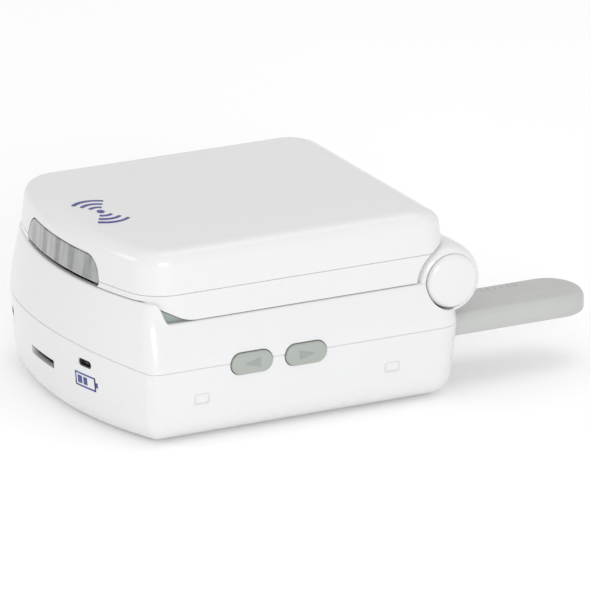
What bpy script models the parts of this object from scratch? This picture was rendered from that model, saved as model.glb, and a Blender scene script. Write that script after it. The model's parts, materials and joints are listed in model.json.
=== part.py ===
"""A folding handheld video monitor: a base with ports, keys and a swinging aerial, and a hinged screen lid.

Metres, +Z up.  The shapes are drawn with the base's middle on x = 0 and the table at z = 0, with +X towards
the side keys and +Y towards the hinge.  One empty then centres the whole object over the origin.
"""
import math

import bmesh
import bpy
from mathutils import Matrix, Vector

# ---------------------------------------------------------------- driving dimensions
BODY_HALF_WIDTH = 0.0568
BODY_LENGTH = 0.1319
BOW_RADIUS = 0.129
LID_BOW_RADIUS = 0.134
SIDE_FLARE = 0.0040
FRONT_FLARE = 0.0040
REAR_FLARE = 0.0012
BOTTOM_DRAFT = (0.0015, 0.0020, 0.0022)
FRONT_CORNER = 0.0060
REAR_CORNER = 0.0090
REAR_Y = 0.0634
UNDERSIDE_Z = 0.0008
SEAM_Z = 0.0264
SEAM_ARCH = 0.0028
SIDE_RIM_Z = 0.0422
FRONT_RIM_Z = 0.0498
LID_TOP_Z = 0.0669
LID_SEAM_Z = 0.0521
WALL = 0.0022
FLOOR = 0.0030
BOTTOM_FILLET = 0.008
LID_FILLET = 0.0058
LID_FRONT_CORNER = 0.014
LID_REAR_CORNER = 0.0105
LID_REAR_STEP = 0.0032
LID_REAR_FILLET = 0.012
HINGE_BACK = 0.0039
HINGE_DROP = 0.0007
EAR_RADIUS = 0.0125
EAR_WIDTH = 0.013
EAR_ROUNDING = 0.0024
CAP_PROUD = 0.0026
DECK_THICKNESS = 0.0018
DECK_DROP = 0.0015
AERIAL_LENGTH = 0.0705
AERIAL_WIDTH = 0.0250
AERIAL_THICKNESS = 0.0076
AERIAL_X = 0.0338
KEY_LENGTH = 0.016
KEY_HEIGHT = 0.0078
KEY_PROUD = 0.0010
LENS_TOP_Z = 0.0599
LENS_THICKNESS = 0.0024
BATTERY_WIDTH = 0.050
BATTERY_LENGTH = 0.058
SCREEN_WIDTH = 0.076
SCREEN_LENGTH = 0.060
FOOT_RADIUS = 0.004

# Clearances
GAP = 0.0003
SLIDE_GAP = 0.0004
TURN_GAP = 0.0005

# ---------------------------------------------------------------- places that follow from them
FRONT_Y = REAR_Y - BODY_LENGTH
HINGE_Y = REAR_Y - HINGE_BACK
HINGE_Z = SIDE_RIM_Z - HINGE_DROP
EAR_OUTER_X = BODY_HALF_WIDTH - SIDE_FLARE
EAR_INNER_X = EAR_OUTER_X - EAR_WIDTH
TROUGH_RADIUS = EAR_RADIUS + 0.0002
TROUGH_OUTER = TROUGH_RADIUS + WALL
KNUCKLE_RADIUS = TROUGH_RADIUS - TURN_GAP
CAP_RADIUS = EAR_RADIUS - 0.0033
EAR_BORE = CAP_RADIUS + GAP
PIN_RADIUS = 0.003
LID_BOTTOM_Z = SIDE_RIM_Z + SLIDE_GAP
LID_REAR_Y = REAR_Y - LID_REAR_STEP
LID_FRONT_Y = FRONT_Y + FRONT_FLARE + 0.0005
LID_HALF_WIDTH = EAR_OUTER_X - 0.0001
FLOOR_TOP_Z = UNDERSIDE_Z + FLOOR
DECK_TOP_Z = SIDE_RIM_Z - DECK_DROP
DECK_UNDER_Z = DECK_TOP_Z - DECK_THICKNESS
LEDGE_TOP_Z = DECK_UNDER_Z - GAP
LEDGE_THICKNESS = 0.002
LEDGE_WIDTH = 0.0025
POST_TOP_Z = LEDGE_TOP_Z - 0.0055
TROUGH_FRONT_Y = HINGE_Y - TROUGH_OUTER
DECK_REAR_Y = TROUGH_FRONT_Y - 0.0006
CASE_GAP_Z = SEAM_Z + GAP
AERIAL_TOP_Z = SEAM_Z - 0.0002
AERIAL_LOW_Z = AERIAL_TOP_Z - AERIAL_THICKNESS
AERIAL_HALF = AERIAL_WIDTH / 2
AERIAL_Y = REAR_Y - AERIAL_HALF - 0.0009
POCKET_FLOOR_Z = AERIAL_LOW_Z - 0.0008
POCKET_WALL = 0.002
POCKET_FRONT_Y = AERIAL_Y - AERIAL_HALF - 0.0015
POCKET_LEFT_X = AERIAL_X - AERIAL_LENGTH - 0.0015
POCKET_RIGHT_X = AERIAL_X + AERIAL_HALF + 0.0015
SHELF_TOP_Z = CASE_GAP_Z + POCKET_WALL
AERIAL_TIP_Y = AERIAL_Y + AERIAL_LENGTH
BOARD_THICKNESS = 0.0016
CHARGE_X = 0.0256
CHARGE_Z = SEAM_Z - 0.0032
MAIN_BOARD_Z = CHARGE_Z - 0.0035
CARD_X = -0.0041
CARD_TOP_Z = SEAM_Z - 0.0082
JACK_X = -0.0420
JACK_Z = SEAM_Z - 0.0057
KEY_Z = SEAM_Z - 0.0006
SIDE_KEY_Y = {"side_key_front": FRONT_Y + 0.0502, "side_key_rear": FRONT_Y + 0.0706}
SIDE_KEY_TRAVEL = 0.0008
DECK_KEY_TRAVEL = 0.0006
POST_X = BODY_HALF_WIDTH - 0.0190
POST_Y = (FRONT_Y + 0.0360, POCKET_FRONT_Y - 0.0085)
LID_POST_X = LID_HALF_WIDTH - 0.0075
LID_POST_Y = (FRONT_Y + 0.0380, HINGE_Y - 0.0225)
SCREEN_Y = (LID_FRONT_Y + 0.0295 + HINGE_Y - 0.0155) / 2
BATTERY_Y = -0.0085
CENTRE_X = KEY_PROUD / 2
CENTRE_Y = (FRONT_Y + AERIAL_TIP_Y) / 2
CIRCLE_STEPS = 24


# ---------------------------------------------------------------- materials
def material(name, colour, roughness, metallic=0.0):
    made = bpy.data.materials.new(name)
    made.use_nodes = True
    shader = made.node_tree.nodes["Principled BSDF"]
    shader.inputs["Base Color"].default_value = (*colour, 1.0)
    shader.inputs["Roughness"].default_value = roughness
    shader.inputs["Metallic"].default_value = metallic
    made.diffuse_color = (*colour, 1.0)
    return made


FINISHES = {
    "white_plastic": ((0.86, 0.86, 0.86), 0.22, 0.0),
    "grey_plastic": ((0.55, 0.57, 0.56), 0.45, 0.0),
    "deck_plastic": ((0.40, 0.46, 0.43), 0.50, 0.0),
    "key_rubber": ((0.43, 0.46, 0.44), 0.60, 0.0),
    "lens_plastic": ((0.42, 0.43, 0.42), 0.25, 0.0),
    "screen_glass": ((0.02, 0.02, 0.025), 0.08, 0.0),
    "black_plastic": ((0.03, 0.03, 0.03), 0.50, 0.0),
    "foot_rubber": ((0.25, 0.25, 0.25), 0.80, 0.0),
    "steel": ((0.55, 0.55, 0.56), 0.35, 1.0),
    "brass": ((0.75, 0.58, 0.30), 0.35, 1.0),
    "board": ((0.03, 0.22, 0.10), 0.50, 0.0),
    "battery_wrap": ((0.10, 0.18, 0.45), 0.40, 0.0),
}


# ---------------------------------------------------------------- outlines, as lists of (u, v), anticlockwise
def arc(centre, radius, start, end, steps):
    turns = [start + (end - start) * step / steps for step in range(steps + 1)]
    return [(centre[0] + radius * math.cos(t), centre[1] + radius * math.sin(t)) for t in turns]


def circle(centre, radius, steps=CIRCLE_STEPS):
    return arc(centre, radius, 0.0, 2 * math.pi * (steps - 1) / steps, steps - 1)


def rectangle(low_u, high_u, low_v, high_v):
    return [(low_u, low_v), (high_u, low_v), (high_u, high_v), (low_u, high_v)]


def rounded(low_u, high_u, low_v, high_v, radius, steps=3):
    quarter = math.pi / 2
    centres = [
        (high_u - radius, low_v + radius),
        (high_u - radius, high_v - radius),
        (low_u + radius, high_v - radius),
        (low_u + radius, low_v + radius),
    ]
    outline = []
    for turn, centre in enumerate(centres):
        start = quarter * (turn - 1)
        outline += arc(centre, radius, start, start + quarter, steps)
    return outline


def stadium(centre, length, height, steps=8):
    reach = (length - height) / 2
    right = arc((centre[0] + reach, centre[1]), height / 2, -math.pi / 2, math.pi / 2, steps)
    left = arc((centre[0] - reach, centre[1]), height / 2, math.pi / 2, 3 * math.pi / 2, steps)
    return right + left


def bowed(half_width, front, rear, front_corner, rear_corner, bow):
    """Plan of a casing: straight sides and rear, a bowed front and four round corners."""
    centre_y = front + bow
    corner_x = half_width - front_corner
    corner_y = centre_y - math.sqrt((bow - front_corner) ** 2 - corner_x ** 2)
    meet = math.atan2(corner_y - centre_y, corner_x)
    right = arc((0.0, centre_y), bow, -math.pi / 2, meet, 6)[:-1]
    right += arc((corner_x, corner_y), front_corner, meet, 0.0, 5)
    right += arc((half_width - rear_corner, rear - rear_corner), rear_corner, 0.0, math.pi / 2, 5)
    left = [(-x, y) for x, y in reversed(right[1:])]
    return right + left


def base_plan(inset, side_draft=0.0, front_draft=0.0, rear_draft=0.0):
    """The base's plan, drawn in by a wall and by the draft of that height."""
    return bowed(
        BODY_HALF_WIDTH - inset - side_draft,
        FRONT_Y + inset + front_draft,
        REAR_Y - inset - rear_draft,
        max(FRONT_CORNER - inset, 0.002),
        max(REAR_CORNER - inset, 0.002),
        BOW_RADIUS - inset,
    )


def flare(z):
    """How far the upper casing's side, front and rear are drawn in at a height above the seam."""
    side_share = min(max((z - SEAM_Z) / (SIDE_RIM_Z - SEAM_Z), 0.0), 1.0)
    front_share = min(max((z - SEAM_Z) / (FRONT_RIM_Z - SEAM_Z), 0.0), 1.0)
    return SIDE_FLARE * side_share ** 1.4, FRONT_FLARE * front_share ** 1.4, REAR_FLARE * side_share


def lid_plan(inset, rear_inset=0.0):
    return bowed(
        LID_HALF_WIDTH - inset,
        LID_FRONT_Y + inset,
        LID_REAR_Y - inset - rear_inset,
        max(LID_FRONT_CORNER - inset, 0.003),
        max(LID_REAR_CORNER - inset, 0.002),
        LID_BOW_RADIUS - inset,
    )


# ---------------------------------------------------------------- solids
def along(point, place, axis):
    """An outline's (u, v) and its place along the axis, as world x, y, z."""
    u, v = point
    return {"X": (place, u, v), "Y": (u, place, v), "Z": (u, v, place)}[axis]


def loft(sections, axis="Z"):
    """A closed mesh through sections, each an outline and its place along the axis."""
    mesh = bmesh.new()
    rings = [[mesh.verts.new(along(point, place, axis)) for point in outline] for outline, place in sections]
    count = len(rings[0])
    for low, high in zip(rings, rings[1:]):
        for first in range(count):
            second = (first + 1) % count
            mesh.faces.new((low[first], low[second], high[second], high[first]))
    mesh.faces.new(list(reversed(rings[0])))
    mesh.faces.new(rings[-1])
    bmesh.ops.recalc_face_normals(mesh, faces=mesh.faces)
    return mesh


def prism(outline, low, high, axis="Z"):
    return loft([(outline, low), (outline, high)], axis)


def box(low_x, high_x, low_y, high_y, low_z, high_z):
    return prism(rectangle(low_x, high_x, low_y, high_y), low_z, high_z)


def turned(centre, profile, axis="Z", steps=CIRCLE_STEPS):
    """A turned piece: its profile is a list of (radius, place along the axis)."""
    return loft([(circle(centre, radius, steps), place) for radius, place in profile], axis)


def cylinder(centre, radius, low, high, axis="Z", steps=CIRCLE_STEPS):
    return turned(centre, [(radius, low), (radius, high)], axis, steps)


def body(name, mesh, smooth=True):
    data = bpy.data.meshes.new(name)
    mesh.to_mesh(data)
    mesh.free()
    made = bpy.data.objects.new(name, data)
    bpy.context.scene.collection.objects.link(made)
    if smooth:
        data.shade_smooth()
        data.set_sharp_from_angle(angle=math.radians(35))
    return made


def boolean(target, mesh, operation):
    """Cut, add or keep a shape, then leave the result on the target as plain mesh."""
    tool = body("tool", mesh, smooth=False)
    change = target.modifiers.new(operation.title(), "BOOLEAN")
    change.operation = operation
    change.object = tool
    evaluated = target.evaluated_get(bpy.context.evaluated_depsgraph_get())
    result = bpy.data.meshes.new_from_object(evaluated)
    target.modifiers.clear()
    old = target.data
    target.data = result
    bpy.data.meshes.remove(old)
    bpy.data.meshes.remove(tool.data)


def cut(target, *meshes):
    for mesh in meshes:
        boolean(target, mesh, "DIFFERENCE")


def add(target, *meshes):
    for mesh in meshes:
        boolean(target, mesh, "UNION")


def keep(target, mesh):
    boolean(target, mesh, "INTERSECT")


def finish(made, finish_name, parent, pivot=None):
    """Give a piece its own material, put its origin on its pivot and hang it on its parent empty."""
    made.data.materials.clear()
    made.data.materials.append(material(made.name, *FINISHES[finish_name]))
    made.data.shade_smooth()
    made.data.set_sharp_from_angle(angle=math.radians(35))
    origin = Vector(pivot) if pivot else Vector(parent["place"])
    made.data.transform(Matrix.Translation(-origin))
    made.parent = parent
    made.location = origin - Vector(parent["place"])
    return made


def empty(name, place, parent=None):
    made = bpy.data.objects.new(name, None)
    bpy.context.scene.collection.objects.link(made)
    made["place"] = place
    made.empty_display_size = 0.01
    if parent:
        made.parent = parent
        made.location = Vector(place) - Vector(parent["place"])
    return made


# ---------------------------------------------------------------- the base's casings
def rim_profile(raise_by=0.0):
    """Side view of everything above the base's rim: low along the sides, high at the bowed front."""
    dip_y = FRONT_Y + 0.0215
    crest_y = FRONT_Y + 0.0141
    low = SIDE_RIM_Z + raise_by
    high = FRONT_RIM_Z + raise_by
    steps = 6
    slope = []
    for step in range(steps + 1):
        share = step / steps
        ease = (1 - math.cos(math.pi * share)) / 2
        slope.append((dip_y + (crest_y - dip_y) * share, low + (high - low) * ease))
    above = LID_TOP_Z + 0.02
    return [(REAR_Y + 0.03, low)] + [(REAR_Y + 0.03, above), (FRONT_Y - 0.02, above)] + [
        (FRONT_Y - 0.02, high)] + list(reversed(slope))


def seam_profile(raise_by, far_z):
    """Side view of the casing above or below the seam, which climbs towards the front's middle."""
    kink_y = FRONT_Y + 0.0134
    front_y = FRONT_Y - 0.0134
    rear_y = REAR_Y + 0.03
    low = SEAM_Z + raise_by
    return [(rear_y, low), (rear_y, far_z), (front_y, far_z), (front_y, low + 2 * SEAM_ARCH), (kink_y, low)]


def side_key_hole(y, extra):
    outline = stadium((y, KEY_Z), KEY_LENGTH + 2 * extra, KEY_HEIGHT + 2 * extra)
    return prism(outline, BODY_HALF_WIDTH - 0.006, BODY_HALF_WIDTH + 0.004, "X")


def screw_wells(target):
    for side in (-1, 1):
        for y in POST_Y:
            place = (side * POST_X, y)
            add(target, cylinder(place, 0.005, UNDERSIDE_Z + 0.0005, SEAM_Z - GAP))
            cut(target, cylinder(place, 0.0034, UNDERSIDE_Z - 0.001, SEAM_Z - 0.008))
            cut(target, cylinder(place, 0.0017, SEAM_Z - 0.009, SEAM_Z + 0.001, steps=12))


def foot_places():
    return {
        "foot_front_right": (POST_X, FRONT_Y + 0.0250),
        "foot_front_left": (-POST_X, FRONT_Y + 0.0250),
        "foot_rear_right": (POST_X, REAR_Y - 0.0175),
        "foot_rear_left": (-POST_X, REAR_Y - 0.0175),
    }


def base_lower_casing(parent):
    sections = []
    height = SEAM_Z - UNDERSIDE_Z
    steps = 4
    for step in range(steps + 1):
        turn = math.pi / 2 * step / steps
        z = UNDERSIDE_Z + BOTTOM_FILLET * (1 - math.cos(turn))
        share = (SEAM_Z - z) / height
        inset = BOTTOM_FILLET * (1 - math.sin(turn))
        sections.append((base_plan(inset, *[draft * share for draft in BOTTOM_DRAFT]), z))
    arch_z = SEAM_Z + SEAM_ARCH + 0.0005
    sections.append((base_plan(0.0), SEAM_Z))
    sections.append((base_plan(0.0, *flare(arch_z)), arch_z))
    sections.append((base_plan(WALL, *flare(arch_z)), arch_z))
    sections.append((base_plan(WALL), SEAM_Z))
    sections.append((base_plan(WALL, *[draft * 0.8 for draft in BOTTOM_DRAFT]), FLOOR_TOP_Z + 0.007))
    sections.append((base_plan(WALL + 0.0070, *BOTTOM_DRAFT), FLOOR_TOP_Z))
    made = body("base_lower_casing", loft(sections))
    wide = BODY_HALF_WIDTH + 0.01
    cut(made, prism(seam_profile(0.0, LID_TOP_Z), -wide, wide, "X"))
    # Aerial pocket: a block across the rear, then the slot it leaves open to the rear
    add(made, box(POCKET_LEFT_X - POCKET_WALL, POCKET_RIGHT_X + POCKET_WALL, POCKET_FRONT_Y - POCKET_WALL,
                  REAR_Y - 0.002, POCKET_FLOOR_Z - POCKET_WALL, SEAM_Z))
    cut(made, box(POCKET_LEFT_X, POCKET_RIGHT_X, POCKET_FRONT_Y, REAR_Y + 0.01, POCKET_FLOOR_Z, SEAM_Z + 0.01))
    cut(made, cylinder((AERIAL_X, AERIAL_Y), 0.0023, POCKET_FLOOR_Z - 0.0014, SEAM_Z, steps=16))
    screw_wells(made)
    for place in foot_places().values():
        cut(made, cylinder(place, FOOT_RADIUS + GAP, UNDERSIDE_Z - 0.001, UNDERSIDE_Z + 0.0011, steps=16))
    # Battery opening with a lip round it, and the door's screw hole
    half_x = BATTERY_WIDTH / 2
    half_y = BATTERY_LENGTH / 2
    cut(made, box(-half_x - 0.0025, half_x + 0.0025, BATTERY_Y - half_y - 0.0025, BATTERY_Y + half_y + 0.0025,
                  UNDERSIDE_Z - 0.001, UNDERSIDE_Z + 0.0019))
    cut(made, box(-half_x - 0.001, half_x + 0.001, BATTERY_Y - half_y - 0.001, BATTERY_Y + half_y + 0.001,
                  UNDERSIDE_Z, FLOOR_TOP_Z + 0.002))
    # Ports in the bowed front: charge socket, card recess and earphone jack
    front = (FRONT_Y - 0.002, FRONT_Y + 0.016)
    cut(made, prism(rounded(CHARGE_X - 0.0040, CHARGE_X + 0.0040, CHARGE_Z - 0.0017, CHARGE_Z + 0.0017, 0.0012),
                    *front, "Y"))
    cut(made, prism(rectangle(CARD_X - 0.0095, CARD_X + 0.0095, CARD_TOP_Z - 0.0030, CARD_TOP_Z), *front, "Y"))
    cut(made, prism(circle((JACK_X, JACK_Z), 0.0019, 16), *front, "Y"))
    for y in SIDE_KEY_Y.values():
        cut(made, side_key_hole(y, SLIDE_GAP))
    return finish(made, "white_plastic", parent)


def hinge_line(radius, low_x, high_x, steps=40):
    return cylinder((HINGE_Y, HINGE_Z), radius, low_x, high_x, "X", steps)


def ear_profile():
    """Half of an ear's section, as (radius, x): full by the lid, drawn in towards its outer end."""
    steps = 5
    profile = [(EAR_RADIUS, EAR_INNER_X)]
    for step in range(steps + 1):
        turn = math.pi / 2 * step / steps
        shrink = EAR_ROUNDING * (1 - math.cos(turn))
        profile.append((EAR_RADIUS - shrink, EAR_OUTER_X - EAR_WIDTH * 0.55 * (1 - math.sin(turn))))
    return profile


def base_upper_casing(parent):
    wide = BODY_HALF_WIDTH + 0.01
    top = FRONT_RIM_Z + 0.001
    heights = [SEAM_Z - 0.001, SEAM_Z, SEAM_Z + 0.004, SEAM_Z + 0.008, SEAM_Z + 0.012, SIDE_RIM_Z, top]
    made = body("base_upper_casing", loft([(base_plan(0.0, *flare(z)), z) for z in heights]))
    cut(made, prism(rim_profile(), -wide, wide, "X"))
    cut(made, prism(seam_profile(GAP, 0.0), -wide, wide, "X"))
    for side in (-1, 1):
        add(made, turned((HINGE_Y, HINGE_Z), [(radius, side * x) for radius, x in ear_profile()], "X", 40))
    # The hollow, with a ledge for the deck, leaving the trough's wall and the roof of the aerial pocket
    ledge_low = LEDGE_TOP_Z - LEDGE_THICKNESS
    hollow = body("hollow", loft([
        (base_plan(WALL), CASE_GAP_Z - 0.002),
        (base_plan(WALL, *flare(SEAM_Z + 0.004)), SEAM_Z + 0.004),
        (base_plan(WALL, *flare(ledge_low)), ledge_low),
        (base_plan(WALL + LEDGE_WIDTH, *flare(ledge_low)), ledge_low),
        (base_plan(WALL + LEDGE_WIDTH, *flare(LEDGE_TOP_Z)), LEDGE_TOP_Z),
        (base_plan(WALL, *flare(LEDGE_TOP_Z)), LEDGE_TOP_Z),
        (base_plan(WALL, *flare(SIDE_RIM_Z)), SIDE_RIM_Z),
        (base_plan(WALL, *flare(top)), top + 0.002),
    ]))
    cut(hollow, hinge_line(TROUGH_OUTER, -wide, wide))
    cut(hollow, box(-wide, wide, TROUGH_FRONT_Y, REAR_Y + 0.01, HINGE_Z, top + 0.01))
    # Behind the hinge line the wall stays solid, so a small trough leaves no pocket over the aerial's roof
    cut(hollow, box(-wide, wide, HINGE_Y, REAR_Y + 0.01, 0.0, HINGE_Z))
    cut(hollow, box(-wide, wide, POCKET_FRONT_Y - POCKET_WALL, REAR_Y + 0.01, 0.0, SHELF_TOP_Z))
    cut(made, bmesh_of(hollow))
    cut(made, hinge_line(TROUGH_RADIUS, -EAR_INNER_X, EAR_INNER_X))
    for side in (-1, 1):
        cap_bore = sorted((side * (EAR_INNER_X + 0.0025), side * (BODY_HALF_WIDTH + 0.001)))
        web_hole = sorted((side * (EAR_INNER_X - 0.001), side * (EAR_INNER_X + 0.0035)))
        cut(made, hinge_line(EAR_BORE, *cap_bore))
        cut(made, hinge_line(PIN_RADIUS + GAP, *web_hole, steps=16))
        for y in POST_Y:
            place = (side * POST_X, y)
            rib = sorted((side * POST_X, side * (BODY_HALF_WIDTH - WALL - 0.0002)))
            add(made, cylinder(place, 0.0035, CASE_GAP_Z + GAP, POST_TOP_Z, steps=16))
            add(made, box(*rib, y - 0.0008, y + 0.0008, SEAM_Z + 0.004, POST_TOP_Z - 0.0003))
            cut(made, cylinder(place, 0.0017, SEAM_Z, POST_TOP_Z - 0.0010, steps=12))
    cut(made, cylinder((AERIAL_X, AERIAL_Y), 0.0023, CASE_GAP_Z - 0.001, CASE_GAP_Z + 0.0014, steps=16))
    for y in SIDE_KEY_Y.values():
        cut(made, side_key_hole(y, SLIDE_GAP))
    return finish(made, "white_plastic", parent)


def bmesh_of(made):
    """Take an object's mesh back as a bmesh and drop the object."""
    mesh = bmesh.new()
    mesh.from_mesh(made.data)
    bpy.data.meshes.remove(made.data)
    return mesh


def build_feet(parent):
    for name, place in foot_places().items():
        profile = [(FOOT_RADIUS - 0.0006, 0.0), (FOOT_RADIUS, 0.0006), (FOOT_RADIUS, UNDERSIDE_Z + 0.0008)]
        finish(body(name, turned(place, profile, steps=16)), "foot_rubber", parent)


def build_casing_screws(parent):
    names = ("casing_screw_front_left", "casing_screw_rear_left", "casing_screw_front_right",
             "casing_screw_rear_right")
    places = [(side * POST_X, y) for side in (-1, 1) for y in POST_Y]
    head_top = SEAM_Z - 0.008 - GAP
    for name, place in zip(names, places):
        profile = [(0.0024, head_top - 0.0022), (0.003, head_top - 0.0016), (0.003, head_top), (0.0014, head_top),
                   (0.0014, POST_TOP_Z - 0.0030)]
        made = body(name, turned(place, profile, steps=16))
        for turn in (0, 1):
            reach = (0.0016, 0.0004) if turn else (0.0004, 0.0016)
            cut(made, box(place[0] - reach[0], place[0] + reach[0], place[1] - reach[1], place[1] + reach[1],
                          head_top - 0.003, head_top - 0.0012))
        finish(made, "steel", parent)


# ---------------------------------------------------------------- the deck and its keys
def deck_plan(inset):
    """The deck's plan: the base's rim drawn in, and cut straight in front of the hinge trough."""
    plan = base_plan(WALL + inset, *flare(DECK_TOP_Z))
    return [(x, min(y, DECK_REAR_Y)) for x, y in plan]


DECK_MIDDLE_Y = FRONT_Y + 0.0640
DECK_KEYS = {
    "navigation_key": ((0.0, DECK_MIDDLE_Y), 0.0095),
    "menu_key": ((-0.0280, DECK_MIDDLE_Y + 0.0110), 0.0045),
    "volume_key": ((0.0280, DECK_MIDDLE_Y + 0.0110), 0.0045),
    "camera_key": ((-0.0280, DECK_MIDDLE_Y - 0.0110), 0.0045),
    "talk_key": ((0.0280, DECK_MIDDLE_Y - 0.0110), 0.0045),
    "power_key": ((0.0, DECK_MIDDLE_Y + 0.0290), 0.0040),
}
SPEAKER_Y = FRONT_Y + 0.0225


def keypad_deck(parent):
    plan = [point for point in deck_plan(GAP)]
    made = body("keypad_deck", prism(merge_repeats(plan), DECK_UNDER_Z, DECK_TOP_Z))
    for place, radius in DECK_KEYS.values():
        cut(made, cylinder(place, radius + SLIDE_GAP, DECK_UNDER_Z - 0.001, DECK_TOP_Z + 0.001))
    for step in range(-3, 4):
        x = step * 0.0034
        reach = 0.0065 - 0.0012 * abs(step)
        slot = rounded(x - 0.0008, x + 0.0008, SPEAKER_Y - reach, SPEAKER_Y + reach, 0.0007, 2)
        cut(made, prism(slot, DECK_UNDER_Z - 0.001, DECK_TOP_Z + 0.001))
    return finish(made, "deck_plastic", parent)


def merge_repeats(outline):
    """Drop points that a straight cut has brought onto the line between their neighbours."""
    kept = []
    count = len(outline)
    for index, point in enumerate(outline):
        before = outline[index - 1]
        after = outline[(index + 1) % count]
        if before[1] == point[1] == after[1]:
            continue
        kept.append(point)
    return kept


def build_deck_keys(parent):
    top = DECK_TOP_Z + 0.0009
    flange_top = DECK_UNDER_Z - GAP
    for name, (place, radius) in DECK_KEYS.items():
        profile = [(radius + 0.001, flange_top - 0.0010), (radius + 0.001, flange_top), (radius, flange_top),
                   (radius, top - 0.0004), (radius - 0.0004, top)]
        made = body(name, turned(place, profile))
        finish(made, "key_rubber", parent, (*place, top))


def build_under_deck(parent):
    board_top = DECK_UNDER_Z - GAP - 0.0010 - DECK_KEY_TRAVEL - GAP
    half_x = BODY_HALF_WIDTH - 0.0095
    low_y = SPEAKER_Y + 0.0150
    pad = body("key_membrane", box(-half_x, half_x, low_y, DECK_REAR_Y - 0.0015, board_top - 0.0009, board_top))
    finish(pad, "key_rubber", parent)
    low = board_top - 0.0009 - GAP
    board = body("keypad_board", box(-half_x, half_x, low_y, DECK_REAR_Y - 0.0015, low - BOARD_THICKNESS, low))
    finish(board, "board", parent)
    profile = [(0.0070, DECK_UNDER_Z - 0.0085), (0.0070, DECK_UNDER_Z - 0.0050), (0.0120, DECK_UNDER_Z - 0.0025),
               (0.0120, DECK_UNDER_Z - 0.0006), (0.0105, DECK_UNDER_Z - 0.0006), (0.0060, DECK_UNDER_Z - 0.0026)]
    finish(body("speaker", turned((0.0, SPEAKER_Y), profile)), "black_plastic", parent)
    finish(body("microphone", cylinder((0.036, SPEAKER_Y + 0.004), 0.0025, DECK_UNDER_Z - 0.0026,
                                       DECK_UNDER_Z - GAP, steps=16)), "steel", parent)
    magnet = body("lid_sensor_magnet", box(-0.041, -0.035, SPEAKER_Y + 0.001, SPEAKER_Y + 0.007,
                                           DECK_UNDER_Z - 0.0033, DECK_UNDER_Z - GAP))
    finish(magnet, "steel", parent)


def build_side_keys(parent):
    board_x = BODY_HALF_WIDTH - 0.0088
    for name, y in SIDE_KEY_Y.items():
        outer = BODY_HALF_WIDTH + KEY_PROUD
        flange = BODY_HALF_WIDTH - WALL - 0.0015
        face = stadium((y, KEY_Z), KEY_LENGTH, KEY_HEIGHT)
        brow = stadium((y, KEY_Z), KEY_LENGTH - 0.0012, KEY_HEIGHT - 0.0012)
        lip = stadium((y, KEY_Z), KEY_LENGTH + 0.0018, KEY_HEIGHT + 0.0018)
        stem = stadium((y, KEY_Z), 0.0060, 0.0036)
        back = flange - 0.0012
        made = body(name, loft([
            (stem, board_x + GAP + SIDE_KEY_TRAVEL), (stem, back), (lip, back), (lip, flange), (face, flange),
            (face, outer - 0.0006), (brow, outer)], "X"))
        finish(made, "key_rubber", parent, (outer, y, KEY_Z))
    low_y = SIDE_KEY_Y["side_key_front"] - 0.0060
    high_y = SIDE_KEY_Y["side_key_rear"] + 0.0060
    board = body("side_key_board", box(board_x - 0.0012, board_x, low_y, high_y, KEY_Z - 0.004, KEY_Z + 0.004))
    finish(board, "board", parent)


# ---------------------------------------------------------------- what the base holds
def build_battery(parent):
    half_x = BATTERY_WIDTH / 2
    half_y = BATTERY_LENGTH / 2
    door_x = half_x + 0.0025 - GAP
    door_y = half_y + 0.0025 - GAP
    door_low = UNDERSIDE_Z
    door_top = UNDERSIDE_Z + 0.0016
    door = body("battery_door", box(-door_x, door_x, BATTERY_Y - door_y, BATTERY_Y + door_y, door_low, door_top))
    screw_y = BATTERY_Y + half_y - 0.004
    cut(door, cylinder((0.0, screw_y), 0.0018, door_low - 0.001, door_top + 0.001, steps=16))
    finish(door, "white_plastic", parent)
    profile = [(0.0013, door_low + 0.0001), (0.0015, door_low + 0.0003), (0.0015, door_top + 0.0005)]
    finish(body("battery_door_screw", turned((0.0, screw_y), profile, steps=16)), "steel", parent)
    pack_low = door_top + 0.0008
    outline = rounded(-half_x, half_x, pack_low, pack_low + 0.0090, 0.0030)
    finish(body("battery_pack", prism(outline, BATTERY_Y - half_y, BATTERY_Y + half_y, "Y")), "battery_wrap", parent)


def build_main_board(parent):
    low = MAIN_BOARD_Z
    top = low + BOARD_THICKNESS
    half_x = BODY_HALF_WIDTH - 0.0072
    plan = base_plan(WALL + 0.0030, 0.0005, 0.0010)
    rear = POCKET_FRONT_Y - POCKET_WALL - 0.0006
    plan = [(max(-half_x, min(x, half_x)), min(y, rear)) for x, y in plan]
    made = body("main_board", prism(merge_repeats(plan), low, top))
    keep(made, box(-half_x + 0.0001, half_x - 0.0001, FRONT_Y + 0.0080, rear - 0.0001, low - 0.01, top + 0.01))
    for side in (-1, 1):
        for y in POST_Y:
            cut(made, cylinder((side * POST_X, y), 0.0055, low - 0.001, top + 0.001, steps=16))
    cut(made, box(JACK_X - 0.0100, JACK_X + 0.0030, FRONT_Y, FRONT_Y + 0.0265, low - 0.001, top + 0.001))
    finish(made, "board", parent)


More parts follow.
